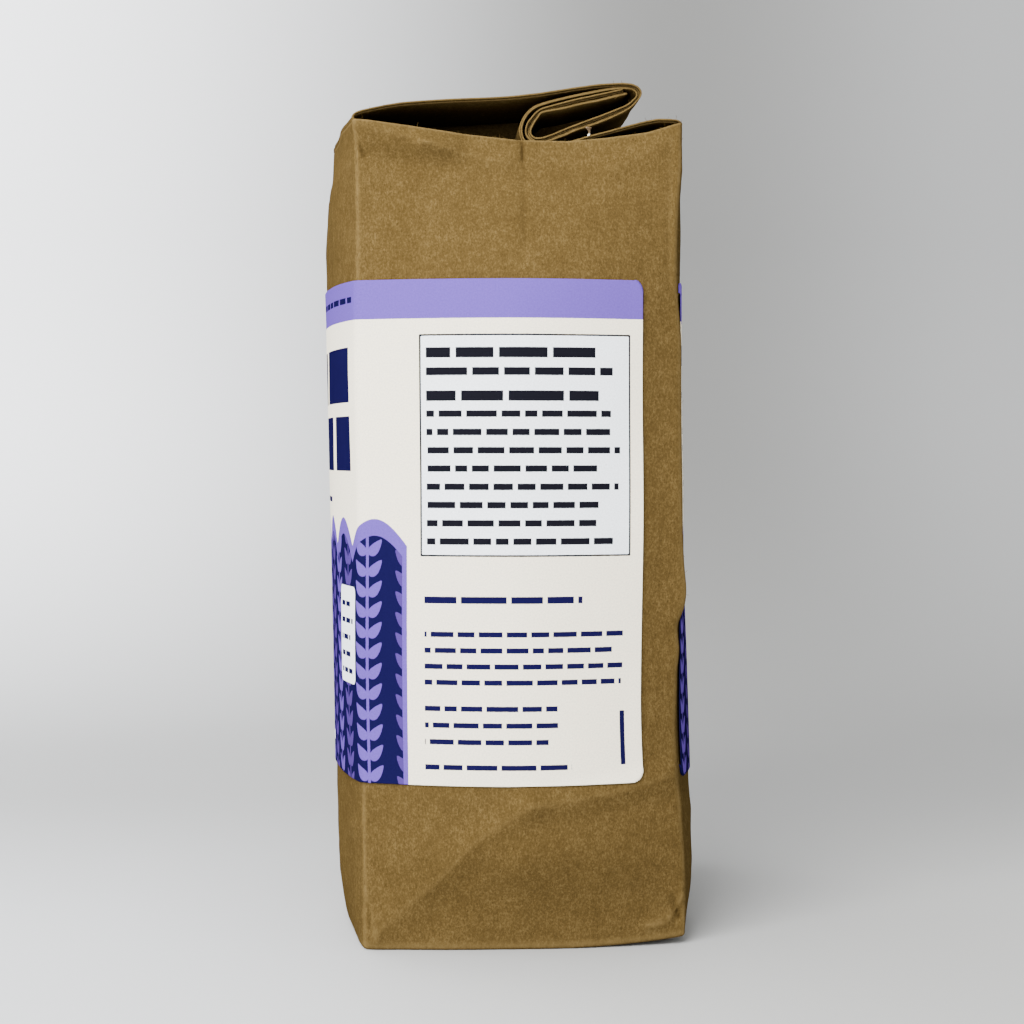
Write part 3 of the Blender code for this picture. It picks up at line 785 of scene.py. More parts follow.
def open_tree(name, source, sizes, result):
    """A Geometry Nodes tree that takes geometry, some sizes and a finish, and gives geometry."""
    tree = bpy.data.node_groups.new(name, "GeometryNodeTree")
    sockets = tree.interface
    sockets.new_socket(source, in_out="INPUT", socket_type="NodeSocketGeometry")
    for size, kind, value in sizes:
        sockets.new_socket(size, in_out="INPUT", socket_type=kind).default_value = value
    sockets.new_socket("Finish", in_out="INPUT", socket_type="NodeSocketMaterial")
    sockets.new_socket(result, in_out="OUTPUT", socket_type="NodeSocketGeometry")
    return tree, tree.nodes.new("NodeGroupInput").outputs


def close_tree(tree, geometry, finish):
    """Makes instances real, gives all of it the finish, and ends the tree."""
    real = add(tree, "GeometryNodeRealizeInstances", {0: geometry})
    done = add(tree, "GeometryNodeSetMaterial", {"Geometry": real.outputs[0], "Material": finish})
    tree.links.new(done.outputs[0], tree.nodes.new("NodeGroupOutput").inputs[0])
    return tree


def sheet_tree():
    tree, given = open_tree("sheet along a line", "Line", (
        ("Half width", "NodeSocketFloat", HALF_WIDTH), ("Columns", "NodeSocketInt", 60),
        ("Rows", "NodeSocketInt", 250), ("Edge rubbed over", "NodeSocketFloat", 0.7 * MM)), "Sheet")
    grid = add(tree, "GeometryNodeMeshGrid", {"Size X": 1.0, "Size Y": 1.0, "Vertices X": given["Rows"],
                                              "Vertices Y": given["Columns"]})
    place = add(tree, "ShaderNodeSeparateXYZ", {0: add(tree, "GeometryNodeInputPosition").outputs[0]})
    along = plus(tree, place.outputs["X"], 0.5)
    # Ease the columns so that they crowd towards the two ends of the roll
    eased = maths(tree, "SINE", times(tree, place.outputs["Y"], math.pi))
    across = times(tree, eased, given["Half width"])
    sample = add(tree, "GeometryNodeSampleCurve", {"Curves": given["Line"], "Factor": along}, mode="FACTOR",
                 use_all_curves=True)
    aside = add(tree, "ShaderNodeCombineXYZ", {"X": across})
    target = vector(tree, "ADD", sample.outputs["Position"], aside.outputs[0])
    from_end = minus(tree, given["Half width"], maths(tree, "ABSOLUTE", across))
    worn = minus(tree, 1.0, maths(tree, "DIVIDE", from_end, given["Edge rubbed over"]))
    worn = times(tree, add(tree, "ShaderNodeClamp", {"Value": worn}).outputs[0], END_RUBBED)
    stored = add(tree, "GeometryNodeStoreNamedAttribute", {
        "Geometry": grid.outputs["Mesh"], "Name": "wear_and_shade", "Value": worn},
        data_type="FLOAT", domain="POINT")
    moved = add(tree, "GeometryNodeSetPosition", {"Geometry": stored.outputs[0], "Position": target})
    return close_tree(tree, moved.outputs[0], given["Finish"])


along_a_line = sheet_tree()
print("tree inputs:", [item.name for item in along_a_line.interface.items_tree if item.in_out == "INPUT"])


# %% Helpers for sheets
def bake(source, name):
    """Turns what the modifiers made into a plain mesh, and removes the object that carried them."""
    evaluated = source.evaluated_get(bpy.context.evaluated_depsgraph_get())
    mesh = bpy.data.meshes.new_from_object(evaluated)
    mesh.name = name
    bpy.data.objects.remove(source, do_unlink=True)
    return put_in_scene(name, mesh)


def points_of(obj):
    flat = np.empty(len(obj.data.vertices) * 3)
    obj.data.vertices.foreach_get("co", flat)
    return flat.reshape(-1, 3)


def set_points(obj, points):
    obj.data.vertices.foreach_set("co", np.asarray(points, float).ravel())
    obj.data.update()


def weld(obj, turn_outwards=False):
    """Merges the points that lie on each other, and shades smoothly."""
    bm = bmesh.new()
    bm.from_mesh(obj.data)
    bmesh.ops.remove_doubles(bm, verts=bm.verts, dist=1e-6)
    if turn_outwards:
        bmesh.ops.recalc_face_normals(bm, faces=bm.faces)
    for face in bm.faces:
        face.smooth = True
    bm.to_mesh(obj.data)
    bm.free()


def thicken(obj, thickness, side):
    """Gives a sheet its thickness: side is -1 for below, 1 for above, and further off past those."""
    solid = obj.modifiers.new("paper thickness", "SOLIDIFY")
    solid.thickness = thickness
    solid.offset = side


print("sheet helpers are ready")

# %% Lay both flaps
OUTER_PLY = 0.38 * MM
INNER_PLY = 0.40 * MM
INNER_SHORT = 1.1 * MM
INSIDE_WALL = 0.25 * MM
WOBBLE_UP = 0.35 * MM
WOBBLE_BACK = 0.30 * MM
WOBBLE_OUT = 0.55 * MM


def flap(name, line, seed, thickness, side, short):
    """One ply of a flap: short is how far it stops before the bag's ends."""
    curve = bpy.data.curves.new(name, "CURVE")
    curve.dimensions = "3D"
    places = smooth_line(line) * MM
    spline = curve.splines.new("POLY")
    spline.points.add(len(places) - 1)
    for point, (y, z) in zip(spline.points, places):
        point.co = (0.0, y, z, 1.0)
    carrier = put_in_scene(name, curve)
    modifier = carrier.modifiers.new("sheet", "NODES")
    modifier.node_group = along_a_line
    modifier[socket_id(along_a_line, "Half width")] = HALF_WIDTH - INSIDE_WALL - short
    modifier[socket_id(along_a_line, "Finish")] = kraft_paper
    sheet = bake(carrier, name)
    points = points_of(sheet)
    x, y, z = points.T
    # A roll made by hand is not quite straight from end to end
    in_roll = past(z, 202, 3) * past(y, -10, 14) * past(-y, -36, 5)
    free = in_roll * (1 - (np.abs(x) / HALF_WIDTH) ** 4)
    points[:, 2] += free * WOBBLE_UP * undulation(x, z * 2, seed, 70 * MM)
    points[:, 1] += free * WOBBLE_BACK * undulation(x, z * 3, seed + 1, 50 * MM)
    # Nor do the turns end in one plane: some stand out further than others
    tip = in_roll * (np.abs(x) / HALF_WIDTH) ** 10 * np.sign(x)
    points[:, 0] += tip * (WOBBLE_OUT * undulation(y, z * 3, seed + 2, 22 * MM) + 0.06 * (z - 208 * MM))
    # Where a flap leaves its wall it has the wall's own dents and rounded corner
    moved = wander(points.copy()) - points
    for sign, noise_seed in ((-1, 5), (1, 12)):
        near = past(sign * y, 35, 6)
        out, _ = wall_relief(-sign * x, np.minimum(z, SHOULDER), HALF_WIDTH, PANEL_CREASES, noise_seed)
        moved[:, 1] += sign * near * out
    points[:, 0], points[:, 1] = round_plan(x, y)
    set_points(sheet, fill_out(points) + moved)
    weld(sheet)
    thicken(sheet, thickness, side)
    return sheet


# On both lines the outer ply lies to the same side. The front's inner ply goes to the other side of
# its line, and the back's goes past its outer ply.
front_flap = flap("front_flap", FRONT_FLAP, 21, OUTER_PLY, -1.0, 0.0)
back_flap = flap("back_flap", BACK_FLAP, 34, OUTER_PLY, -1.0, 0.0)
front_ply = flap("front_ply", FRONT_FLAP, 21, INNER_PLY, 1.0, INNER_SHORT)
back_ply = flap("back_ply", BACK_FLAP, 34, INNER_PLY, -2.9, INNER_SHORT)
print("flaps:", len(front_flap.data.polygons) + len(back_flap.data.polygons), "faces")


# %% The middle of the roll
ROLL_HEART = [(5.5, 204.8), (12.0, 207.2), (18.2, 209.4), (24.3, 211.8), (28.2, 213.7), (27.4, 214.3),
              (21.6, 212.9), (15.7, 211.7), (11.5, 210.7), (7.0, 209.9), (5.1, 208.1), (4.0, 206.0)]
HEART_FROM_END = 24 * MM


def build_heart():
    """Crushed paper that closes the roll a little way in from each end."""
    reach = HALF_WIDTH - HEART_FROM_END
    count = len(ROLL_HEART)
    points = [(x, y * MM, z * MM) for x in (-reach, reach) for y, z in ROLL_HEART]
    faces = [tuple(range(count))[::-1], tuple(range(count, 2 * count))]
    faces += [(k, (k + 1) % count, count + (k + 1) % count, count + k) for k in range(count)]
    heart = mesh_object("roll_heart", fill_out(points), faces)
    heart.data.materials.append(kraft_paper)
    return heart


roll_heart = build_heart()
print("middle of the roll:", [round(v / MM) for v in roll_heart.dimensions], "mm")

# %% [markdown]
# ## Stray fibres
#
# Kraft paper is made of long fibres, and a few of them stand out along every folded or cut edge,
# where they show against the pale backdrop. Geometry Nodes puts a bent hair at some of the points
# given to it, each turned and sized by its own random number.

# %% Points along the edges
ON_A_CORNER = 260
ON_A_GUSSET = 160


def edge_places():
    """Points along the ends of the roll, the four upright corners and the top folds of the gussets."""
    chance = np.random.default_rng(47)
    places = []
    for sheet in (front_flap, back_flap):
        points = points_of(sheet)
        places.append(points[np.abs(points[:, 0]) > HALF_WIDTH - 1.2 * MM])
    for x, y in ((1, 1), (1, -1), (-1, 1), (-1, -1)):
        height = chance.uniform(2 * MM, SHOULDER - 4 * MM, ON_A_CORNER)
        flat = np.tile([x * HALF_WIDTH, y * HALF_DEPTH], (ON_A_CORNER, 1))
        places.append(paper_points(flat[:, 0], flat[:, 1], height)[0])
    across = chance.uniform(-HALF_DEPTH, HALF_DEPTH, ON_A_GUSSET)
    for side in (1, -1):
        edge = np.full(ON_A_GUSSET, side * HALF_WIDTH)
        places.append(paper_points(edge, across, height_on(GUSSET_EDGE, across))[0])
    return np.concatenate(places)


print("places along the edges:", len(edge_places()))


# %% A Geometry Nodes tree for stray fibres
def random_value(tree, kind, low, high, seed):
    """A random number or vector for each point."""
    first = 0 if kind == "FLOAT_VECTOR" else 2
    node = add(tree, "FunctionNodeRandomValue", {first: low, first + 1: high, 8: seed}, data_type=kind)
    return node.outputs[0 if kind == "FLOAT_VECTOR" else 1]


def fibres_tree():
    tree, given = open_tree("stray fibres", "Places", (
        ("Share", "NodeSocketFloat", 0.4), ("Length", "NodeSocketFloat", 0.9 * MM),
        ("Thickness", "NodeSocketFloat", 0.036 * MM), ("Seed", "NodeSocketInt", 5)), "Fibres")
    hair = add(tree, "GeometryNodeCurveQuadraticBezier", {
        "Resolution": 5, "Start": (0, 0, 0), "Middle": (0.55, 0.35, 0.05), "End": (1, 0.1, 0.25)})
    ring = add(tree, "GeometryNodeCurvePrimitiveCircle", {"Resolution": 3})
    thin = maths(tree, "DIVIDE", given["Thickness"], given["Length"])
    scale = add(tree, "ShaderNodeCombineXYZ", {0: thin, 1: thin, 2: thin}).outputs[0]
    ring = add(tree, "GeometryNodeTransform", {"Geometry": ring.outputs[0], "Scale": scale})
    strand = add(tree, "GeometryNodeCurveToMesh", {"Curve": hair.outputs[0],
                                                   "Profile Curve": ring.outputs[0]})
    chance = random_value(tree, "FLOAT", 0.0, 1.0, given["Seed"])
    few = maths(tree, "LESS_THAN", chance, given["Share"])
    size = times(tree, given["Length"], random_value(tree, "FLOAT", 0.35, 1.3, 11))
    turn = random_value(tree, "FLOAT_VECTOR", (0.0, 0.0, 0.0), (math.tau, math.tau, math.tau), 23)
    placed = add(tree, "GeometryNodeInstanceOnPoints", {
        "Points": given["Places"], "Selection": few, "Instance": strand.outputs[0],
        "Rotation": turn, "Scale": size})
    return close_tree(tree, placed.outputs[0], given["Finish"])


# %% Put the fibres on
def build_fibres():
    carrier = mesh_object("stray_fibres", edge_places(), [])
    modifier = carrier.modifiers.new("fibres", "NODES")
    modifier.node_group = fibres_tree()
    modifier[socket_id(modifier.node_group, "Finish")] = kraft_paper
    return bake(carrier, "stray_fibres")


stray_fibres = build_fibres()
print("stray fibres:", len(stray_fibres.data.polygons), "faces")

# %% [markdown]
# ## The printed label
#
# The label is one rectangle of paper, 127 mm by 406 mm with rounded corners. It starts near the back
# edge of one gusset, goes round the front, the far gusset and the back, and ends just before it would
# meet itself. It is laid out as columns along its length, sent through the same function as the paper
# under it, and pushed out by its own thickness. Its UV map is its real size in metres, measured from
# its end on the back panel, so print can be placed on it with a ruler.

# %% Lay the label
LABEL_LENGTH = 406.4 * MM
LABEL_HEIGHT = 127.0 * MM
LABEL_FOOT = 40.6 * MM
LABEL_START = 31.7 * MM
LABEL_CORNER = 3.0 * MM
LABEL_LIFT = 0.30 * MM
LABEL_PAPER = 0.22 * MM
LABEL_END_PLACES = np.array([0.0, 0.1, 0.3, 0.65, 1.1, 1.7, 2.4, 3.0]) * MM
END_MARGIN = 3.6 * MM
ROW_MARGIN = 4.2 * MM
LOOSE_END = 0.25 * MM


def label_columns():
    """Flat-walled places along the label from its end on the near gusset, and how far along each is."""
    last = LABEL_LENGTH - LABEL_START - 3 * HALF_DEPTH - 3 * HALF_WIDTH
    path = [(HALF_WIDTH, LABEL_START - e) for e in LABEL_END_PLACES]
    path += [(HALF_WIDTH, y) for y in ys[::-1] if y < LABEL_START - END_MARGIN]
    path += [(x, -HALF_DEPTH) for x in xs[::-1][1:]]
    path += [(-HALF_WIDTH, y) for y in ys[1:]]
    path += [(x, HALF_DEPTH) for x in xs[1:] if x < last - END_MARGIN]
    path += [(last - e, HALF_DEPTH) for e in LABEL_END_PLACES[::-1]]
    path = np.array(path)
    steps = np.hypot(*np.diff(path, axis=0).T)
    return path, np.concatenate([[0.0], np.cumsum(steps)])


def build_label():
    path, along = label_columns()
    heights = np.concatenate([FINE, np.linspace(ROW_MARGIN, LABEL_HEIGHT - ROW_MARGIN, 100),
                              LABEL_HEIGHT - FINE[::-1]])
    from_end = np.minimum(along, along[-1] - along)
    short = LABEL_CORNER - np.minimum(from_end, LABEL_CORNER)
    inset = LABEL_CORNER - np.sqrt(LABEL_CORNER ** 2 - short ** 2)
    column_x, row_z = np.meshgrid(path[:, 0], heights, indexing="ij")
    column_y = np.repeat(path[:, 1][:, None], len(heights), axis=1)
    row_z = np.clip(row_z, inset[:, None], LABEL_HEIGHT - inset[:, None])
    u = np.repeat(LABEL_LENGTH - along[:, None], len(heights), axis=1)
    points, _ = paper_points(column_x.ravel(), column_y.ravel(), (row_z + LABEL_FOOT).ravel())
    rows = len(heights)
    faces = []
    for c in range(len(path) - 1):
        for r in range(rows - 1):
            faces.append(((c + 1) * rows + r, c * rows + r, c * rows + r + 1, (c + 1) * rows + r + 1))
    label = mesh_object("printed_label", points, faces)
    normals = np.empty(len(points) * 3)
    label.data.vertices.foreach_get("normal", normals)
    # At its two ends the label has come away a little, here more and there less
    loose = LOOSE_END * hump(from_end[:, None], 0, 2.5)
    lift = LABEL_LIFT + loose * (0.5 + 0.5 * np.sin(row_z / (9 * MM)))
    set_points(label, points + normals.reshape(-1, 3) * lift.ravel()[:, None])
    layer = label.data.uv_layers.new(name="UVMap")
    uv = np.stack([u.ravel(), row_z.ravel()], axis=1)
    index = np.empty(len(label.data.loops), np.int32)
    label.data.loops.foreach_get("vertex_index", index)
    layer.data.foreach_set("uv", uv[index].astype(np.float32).ravel())
    label.data.shade_smooth()
    thicken(label, LABEL_PAPER, 1.0)
    return label


printed_label = build_label()
print("label:", len(printed_label.data.polygons), "faces")

# %% [markdown]
# ## The dab of glue
#
# A small drop of hot glue shows between the roll and the back flap. It was squeezed while soft, so it
# is a short stalk that spreads where it meets the paper above it. It is turned like a vase: a profile
# of a few radii goes round an upright axis, and the rings are then shifted a little so that it isn't
# perfectly round.

# %% Build the dab of glue
# Radius and height in mm, from the foot up
GLUE_PROFILE = [(0.0, 0.0), (0.28, 0.05), (0.36, 0.3), (0.28, 0.7), (0.26, 1.1), (0.34, 1.5),
                (0.62, 1.9), (0.95, 2.2), (0.8, 2.5), (0.0, 2.55)]
GLUE_IN = 1.7 * MM
GLUE_BACK = 17.75 * MM
GLUE_FOOT = 204.5 * MM + BOTTOM_FOLDS


def build_glue():
    centre = (HALF_WIDTH - GLUE_IN, GLUE_BACK + CENTRING, GLUE_FOOT)
    turns = 20
    points, faces = [], []
    for ring, (radius, height) in enumerate(GLUE_PROFILE):
        for k in range(turns):
            angle = math.tau * k / turns
            wide = radius * (1 + 0.12 * math.sin(3 * angle + height * 2))
            points.append((centre[0] + wide * MM * math.cos(angle) * 0.9,
                           centre[1] + (wide * math.sin(angle) + 0.22 * math.sin(height * 1.7)) * MM,
                           centre[2] + height * MM * 0.93))
            after = (k + 1) % turns
            if ring:
                faces.append(((ring - 1) * turns + k, (ring - 1) * turns + after,
                              ring * turns + after, ring * turns + k))
    glue = mesh_object("glue_dab", points, faces)
    weld(glue, turn_outwards=True)
    rounded = glue.modifiers.new("rounded", "SUBSURF")
    rounded.levels = rounded.render_levels = 1
    return glue


glue_dab = build_glue()
print("glue:", [round(v / MM, 1) for v in glue_dab.dimensions], "mm")

# %% [markdown]
# ## The label's print
#
# The print is plain fields and bars. Its colours are cream paper, a lavender band along the top, and
# navy. Where a real pack has words, this one has rows of plain bars of the same weight. The foot of
# the label carries a pattern of oat ears. Drawing it in the shader keeps it sharp at any distance:
# the UV map is in metres, so a position in millimetres goes in and a mask comes out. Three small node
# groups do all of it: a rounded field, a block of bars, and the oat ears.

# %% Node group: rounded field
def soft_step(group, value, edge, width=0.07):
    """0 below the edge and 1 above it."""
    return ramp_between(group, value, minus(group, edge, width), plus(group, edge, width))


def rounded_field_group():
    group, given, out = new_group(
        "rounded field",
        [("Place", "NodeSocketVector", None), ("Centre", "NodeSocketVector", None),
         ("Half size", "NodeSocketVector", None), ("Corner", "NodeSocketFloat", 1.0)],
        [("Mask", "NodeSocketFloat")])
    away = vector(group, "ABSOLUTE", vector(group, "SUBTRACT", given["Place"], given["Centre"]))
    over = vector(group, "SUBTRACT", away, given["Half size"])
    corner = add(group, "ShaderNodeCombineXYZ", {"X": given["Corner"], "Y": given["Corner"]})
    over = vector(group, "MAXIMUM", vector(group, "ADD", over, corner.outputs[0]))
    reach = add(group, "ShaderNodeVectorMath", {0: over}, operation="LENGTH")
    outside = soft_step(group, reach.outputs["Value"], given["Corner"])
    group.links.new(minus(group, 1.0, outside), out["Mask"])
    return group


rounded_field = rounded_field_group()
print("rounded field:", len(rounded_field.nodes), "nodes")


# %% Node group: block of bars
def bars_group():
    group, given, out = new_group(
        "block of bars",
        [("Place", "NodeSocketVector", None), ("Left", "NodeSocketFloat", 0.0),
         ("Right", "NodeSocketFloat", 50.0), ("Top", "NodeSocketFloat", 100.0),
         ("Lines", "NodeSocketFloat", 3.0), ("Pitch", "NodeSocketFloat", 4.5),
         ("Bar height", "NodeSocketFloat", 1.6), ("Bar length", "NodeSocketFloat", 6.0),
         ("Gap", "NodeSocketFloat", 0.9), ("Ragged", "NodeSocketFloat", 8.0),
         ("Seed", "NodeSocketFloat", 0.0)],
        [("Mask", "NodeSocketFloat")])
    place = add(group, "ShaderNodeSeparateXYZ", {0: given["Place"]})
    down = maths(group, "DIVIDE", minus(group, given["Top"], place.outputs["Y"]), given["Pitch"])
    line = maths(group, "FLOOR", down)
    within = times(group, minus(group, minus(group, down, line), 0.5), given["Pitch"])
    half = times(group, given["Bar height"], 0.5)
    tall = minus(group, 1.0, soft_step(group, maths(group, "ABSOLUTE", within), half))
    shift = plus(group, times(group, line, 7.31), given["Seed"])
    along = plus(group, maths(group, "DIVIDE", place.outputs["X"], given["Bar length"]), shift)
    cells = add(group, "ShaderNodeTexVoronoi", {"W": along, "Scale": 1.0, "Randomness": 0.85},
                voronoi_dimensions="1D", feature="DISTANCE_TO_EDGE")
    from_gap = times(group, cells.outputs["Distance"], given["Bar length"])
    words = soft_step(group, from_gap, times(group, given["Gap"], 0.5))
    chance = add(group, "ShaderNodeTexWhiteNoise", {"W": shift}, noise_dimensions="1D")
    end = minus(group, given["Right"], times(group, given["Ragged"], chance.outputs["Value"]))
    wide = times(group, soft_step(group, place.outputs["X"], given["Left"]),
                 minus(group, 1.0, soft_step(group, place.outputs["X"], end)))
    listed = times(group, maths(group, "GREATER_THAN", down, 0.0),
                   maths(group, "LESS_THAN", down, given["Lines"]))
    mask = times(group, times(group, tall, words), times(group, wide, listed))
    group.links.new(mask, out["Mask"])
    return group


block_of_bars = bars_group()
print("block of bars:", len(block_of_bars.nodes), "nodes")


# %% Node group: oat ears
GRAIN_LEAN = math.radians(52)
GRAIN_ASIDE = 2.1
HALF_GRAIN = 2.5


def ears_group():
    group, given, out = new_group(
        "oat ears",
        [("Place", "NodeSocketVector", None), ("Spacing", "NodeSocketFloat", 11.0),
         ("Grain", "NodeSocketFloat", 5.2)],
        [("Grain mask", "NodeSocketFloat"), ("Stem mask", "NodeSocketFloat"), ("Column", "NodeSocketFloat")])
    place = add(group, "ShaderNodeSeparateXYZ", {0: given["Place"]})
    across = maths(group, "DIVIDE", place.outputs["X"], given["Spacing"])
    column = maths(group, "FLOOR", across)
    odd = times(group, maths(group, "MODULO", column, 2.0), 0.5)
    aside = times(group, minus(group, minus(group, across, column), 0.5), given["Spacing"])
    aside = maths(group, "ABSOLUTE", aside)
    up = plus(group, maths(group, "DIVIDE", place.outputs["Y"], given["Grain"]), odd)
    up = times(group, minus(group, maths(group, "FRACT", up), 0.5), given["Grain"])
    # Each grain is an oval leaning out from its stem, wider at its lower end
    sideways = minus(group, aside, GRAIN_ASIDE)
    cosine, sine = math.cos(GRAIN_LEAN), math.sin(GRAIN_LEAN)
    length = plus(group, times(group, sideways, cosine), times(group, up, sine))
    width = minus(group, times(group, up, cosine), times(group, sideways, sine))
    width = maths(group, "DIVIDE", width, minus(group, 1.15, times(group, length, 0.22)))
    length = maths(group, "DIVIDE", maths(group, "ABSOLUTE", length), HALF_GRAIN)
    oval = plus(group, maths(group, "POWER", length, 2.0),
                maths(group, "POWER", maths(group, "ABSOLUTE", width), 2.0))
    group.links.new(ramp_between(group, oval, 1.12, 0.90), out["Grain mask"])
    group.links.new(ramp_between(group, aside, 0.42, 0.28), out["Stem mask"])
    group.links.new(maths(group, "MODULO", column, 2.0), out["Column"])
    return group


oat_ears = ears_group()
print("oat ears:", len(oat_ears.nodes), "nodes")

# %% [markdown]
# The material lays the fields over each other like printing inks, one mask and one colour at a time.
# Distances run from the label's end on the back panel: the back panel comes first, then the far
# gusset from 124 mm, the front from 206 mm, and the near gusset from 333 mm to the end at 406 mm.

# %% Colours and places of the print, in mm
CREAM = (0.87, 0.795, 0.63)
LAVENDER = (0.103, 0.057, 0.315)
VIOLET = (0.060, 0.032, 0.175)
NAVY = (0.0055, 0.004, 0.034)
INK = (0.006, 0.006, 0.009)
WHITE = (0.84, 0.88, 0.92)
ART_TOP = 60.0
ART_WAVE = 7.0
ART_WAVE_LENGTH = 17.3
ART_END = 345.8

# Blocks of bars: left, right, top, lines, pitch, bar height, bar length, gap, ragged, seed
NEAR_TABLE = [(351.0, 401.5, 111.2, 1, 5.0, 2.6, 14.0, 1.3, 14.0, 0.4),
              (351.0, 399.0, 106.5, 1, 5.0, 2.0, 9.0, 1.2, 2.0, 2.9),
              (351.0, 396.0, 101.4, 1, 7.0, 2.6, 13.0, 1.3, 2.0, 5.2),
              (351.0, 400.5, 95.7, 8, 4.56, 1.65, 6.5, 1.1, 7.0, 1.3)]
NEAR_NOTES = [(350.3, 391.0, 48.5, 1, 3.4, 1.75, 11.0, 1.1, 0.5, 3.3),
              (350.3, 402.0, 40.2, 4, 4.03, 1.35, 6.0, 1.0, 4.0, 8.1),
              (350.3, 387.0, 21.6, 3, 4.2, 1.35, 6.5, 1.0, 6.0, 4.4),
              (350.3, 388.0, 6.4, 1, 3.4, 1.35, 8.0, 1.0, 0.5, 6.6)]
FRONT_TITLE = [(216, 328.5, 113.0, 1, 19.0, 14.0, 38.0, 4.5, 0.5, 1.2),
               (216, 328.5, 95.0, 1, 18.0, 14.0, 30.0, 4.5, 0.5, 3.7)]
FRONT_BAND = [(222, 331.0, 124.1, 1, 3.4, 1.5, 7.0, 1.2, 0.5, 2.2)]
FRONT_SMALL = [(317.5, 329.5, 47.0, 5, 4.3, 1.3, 5.0, 0.9, 3.0, 5.5),
               (210.5, 222.5, 47.0, 5, 4.3, 1.3, 5.0, 0.9, 3.0, 7.7)]
FRONT_FOOT = [(250, 292, 9.2, 1, 5.0, 2.4, 12.0, 1.4, 0.5, 9.1)]
FAR_AND_BACK = [(131, 199, 113.0, 1, 6.0, 3.0, 16.0, 1.8, 18.0, 2.4),
                (131, 199, 104.5, 8, 4.3, 1.4, 7.0, 1.0, 9.0, 3.8),
                (10, 114, 113.5, 1, 9.0, 5.4, 26.0, 2.6, 20.0, 6.1),
                (10, 114, 101.0, 7, 4.6, 1.6, 8.0, 1.1, 14.0, 7.3)]
print("rows of bars on the near gusset:", sum(block[3] for block in NEAR_TABLE + NEAR_NOTES))


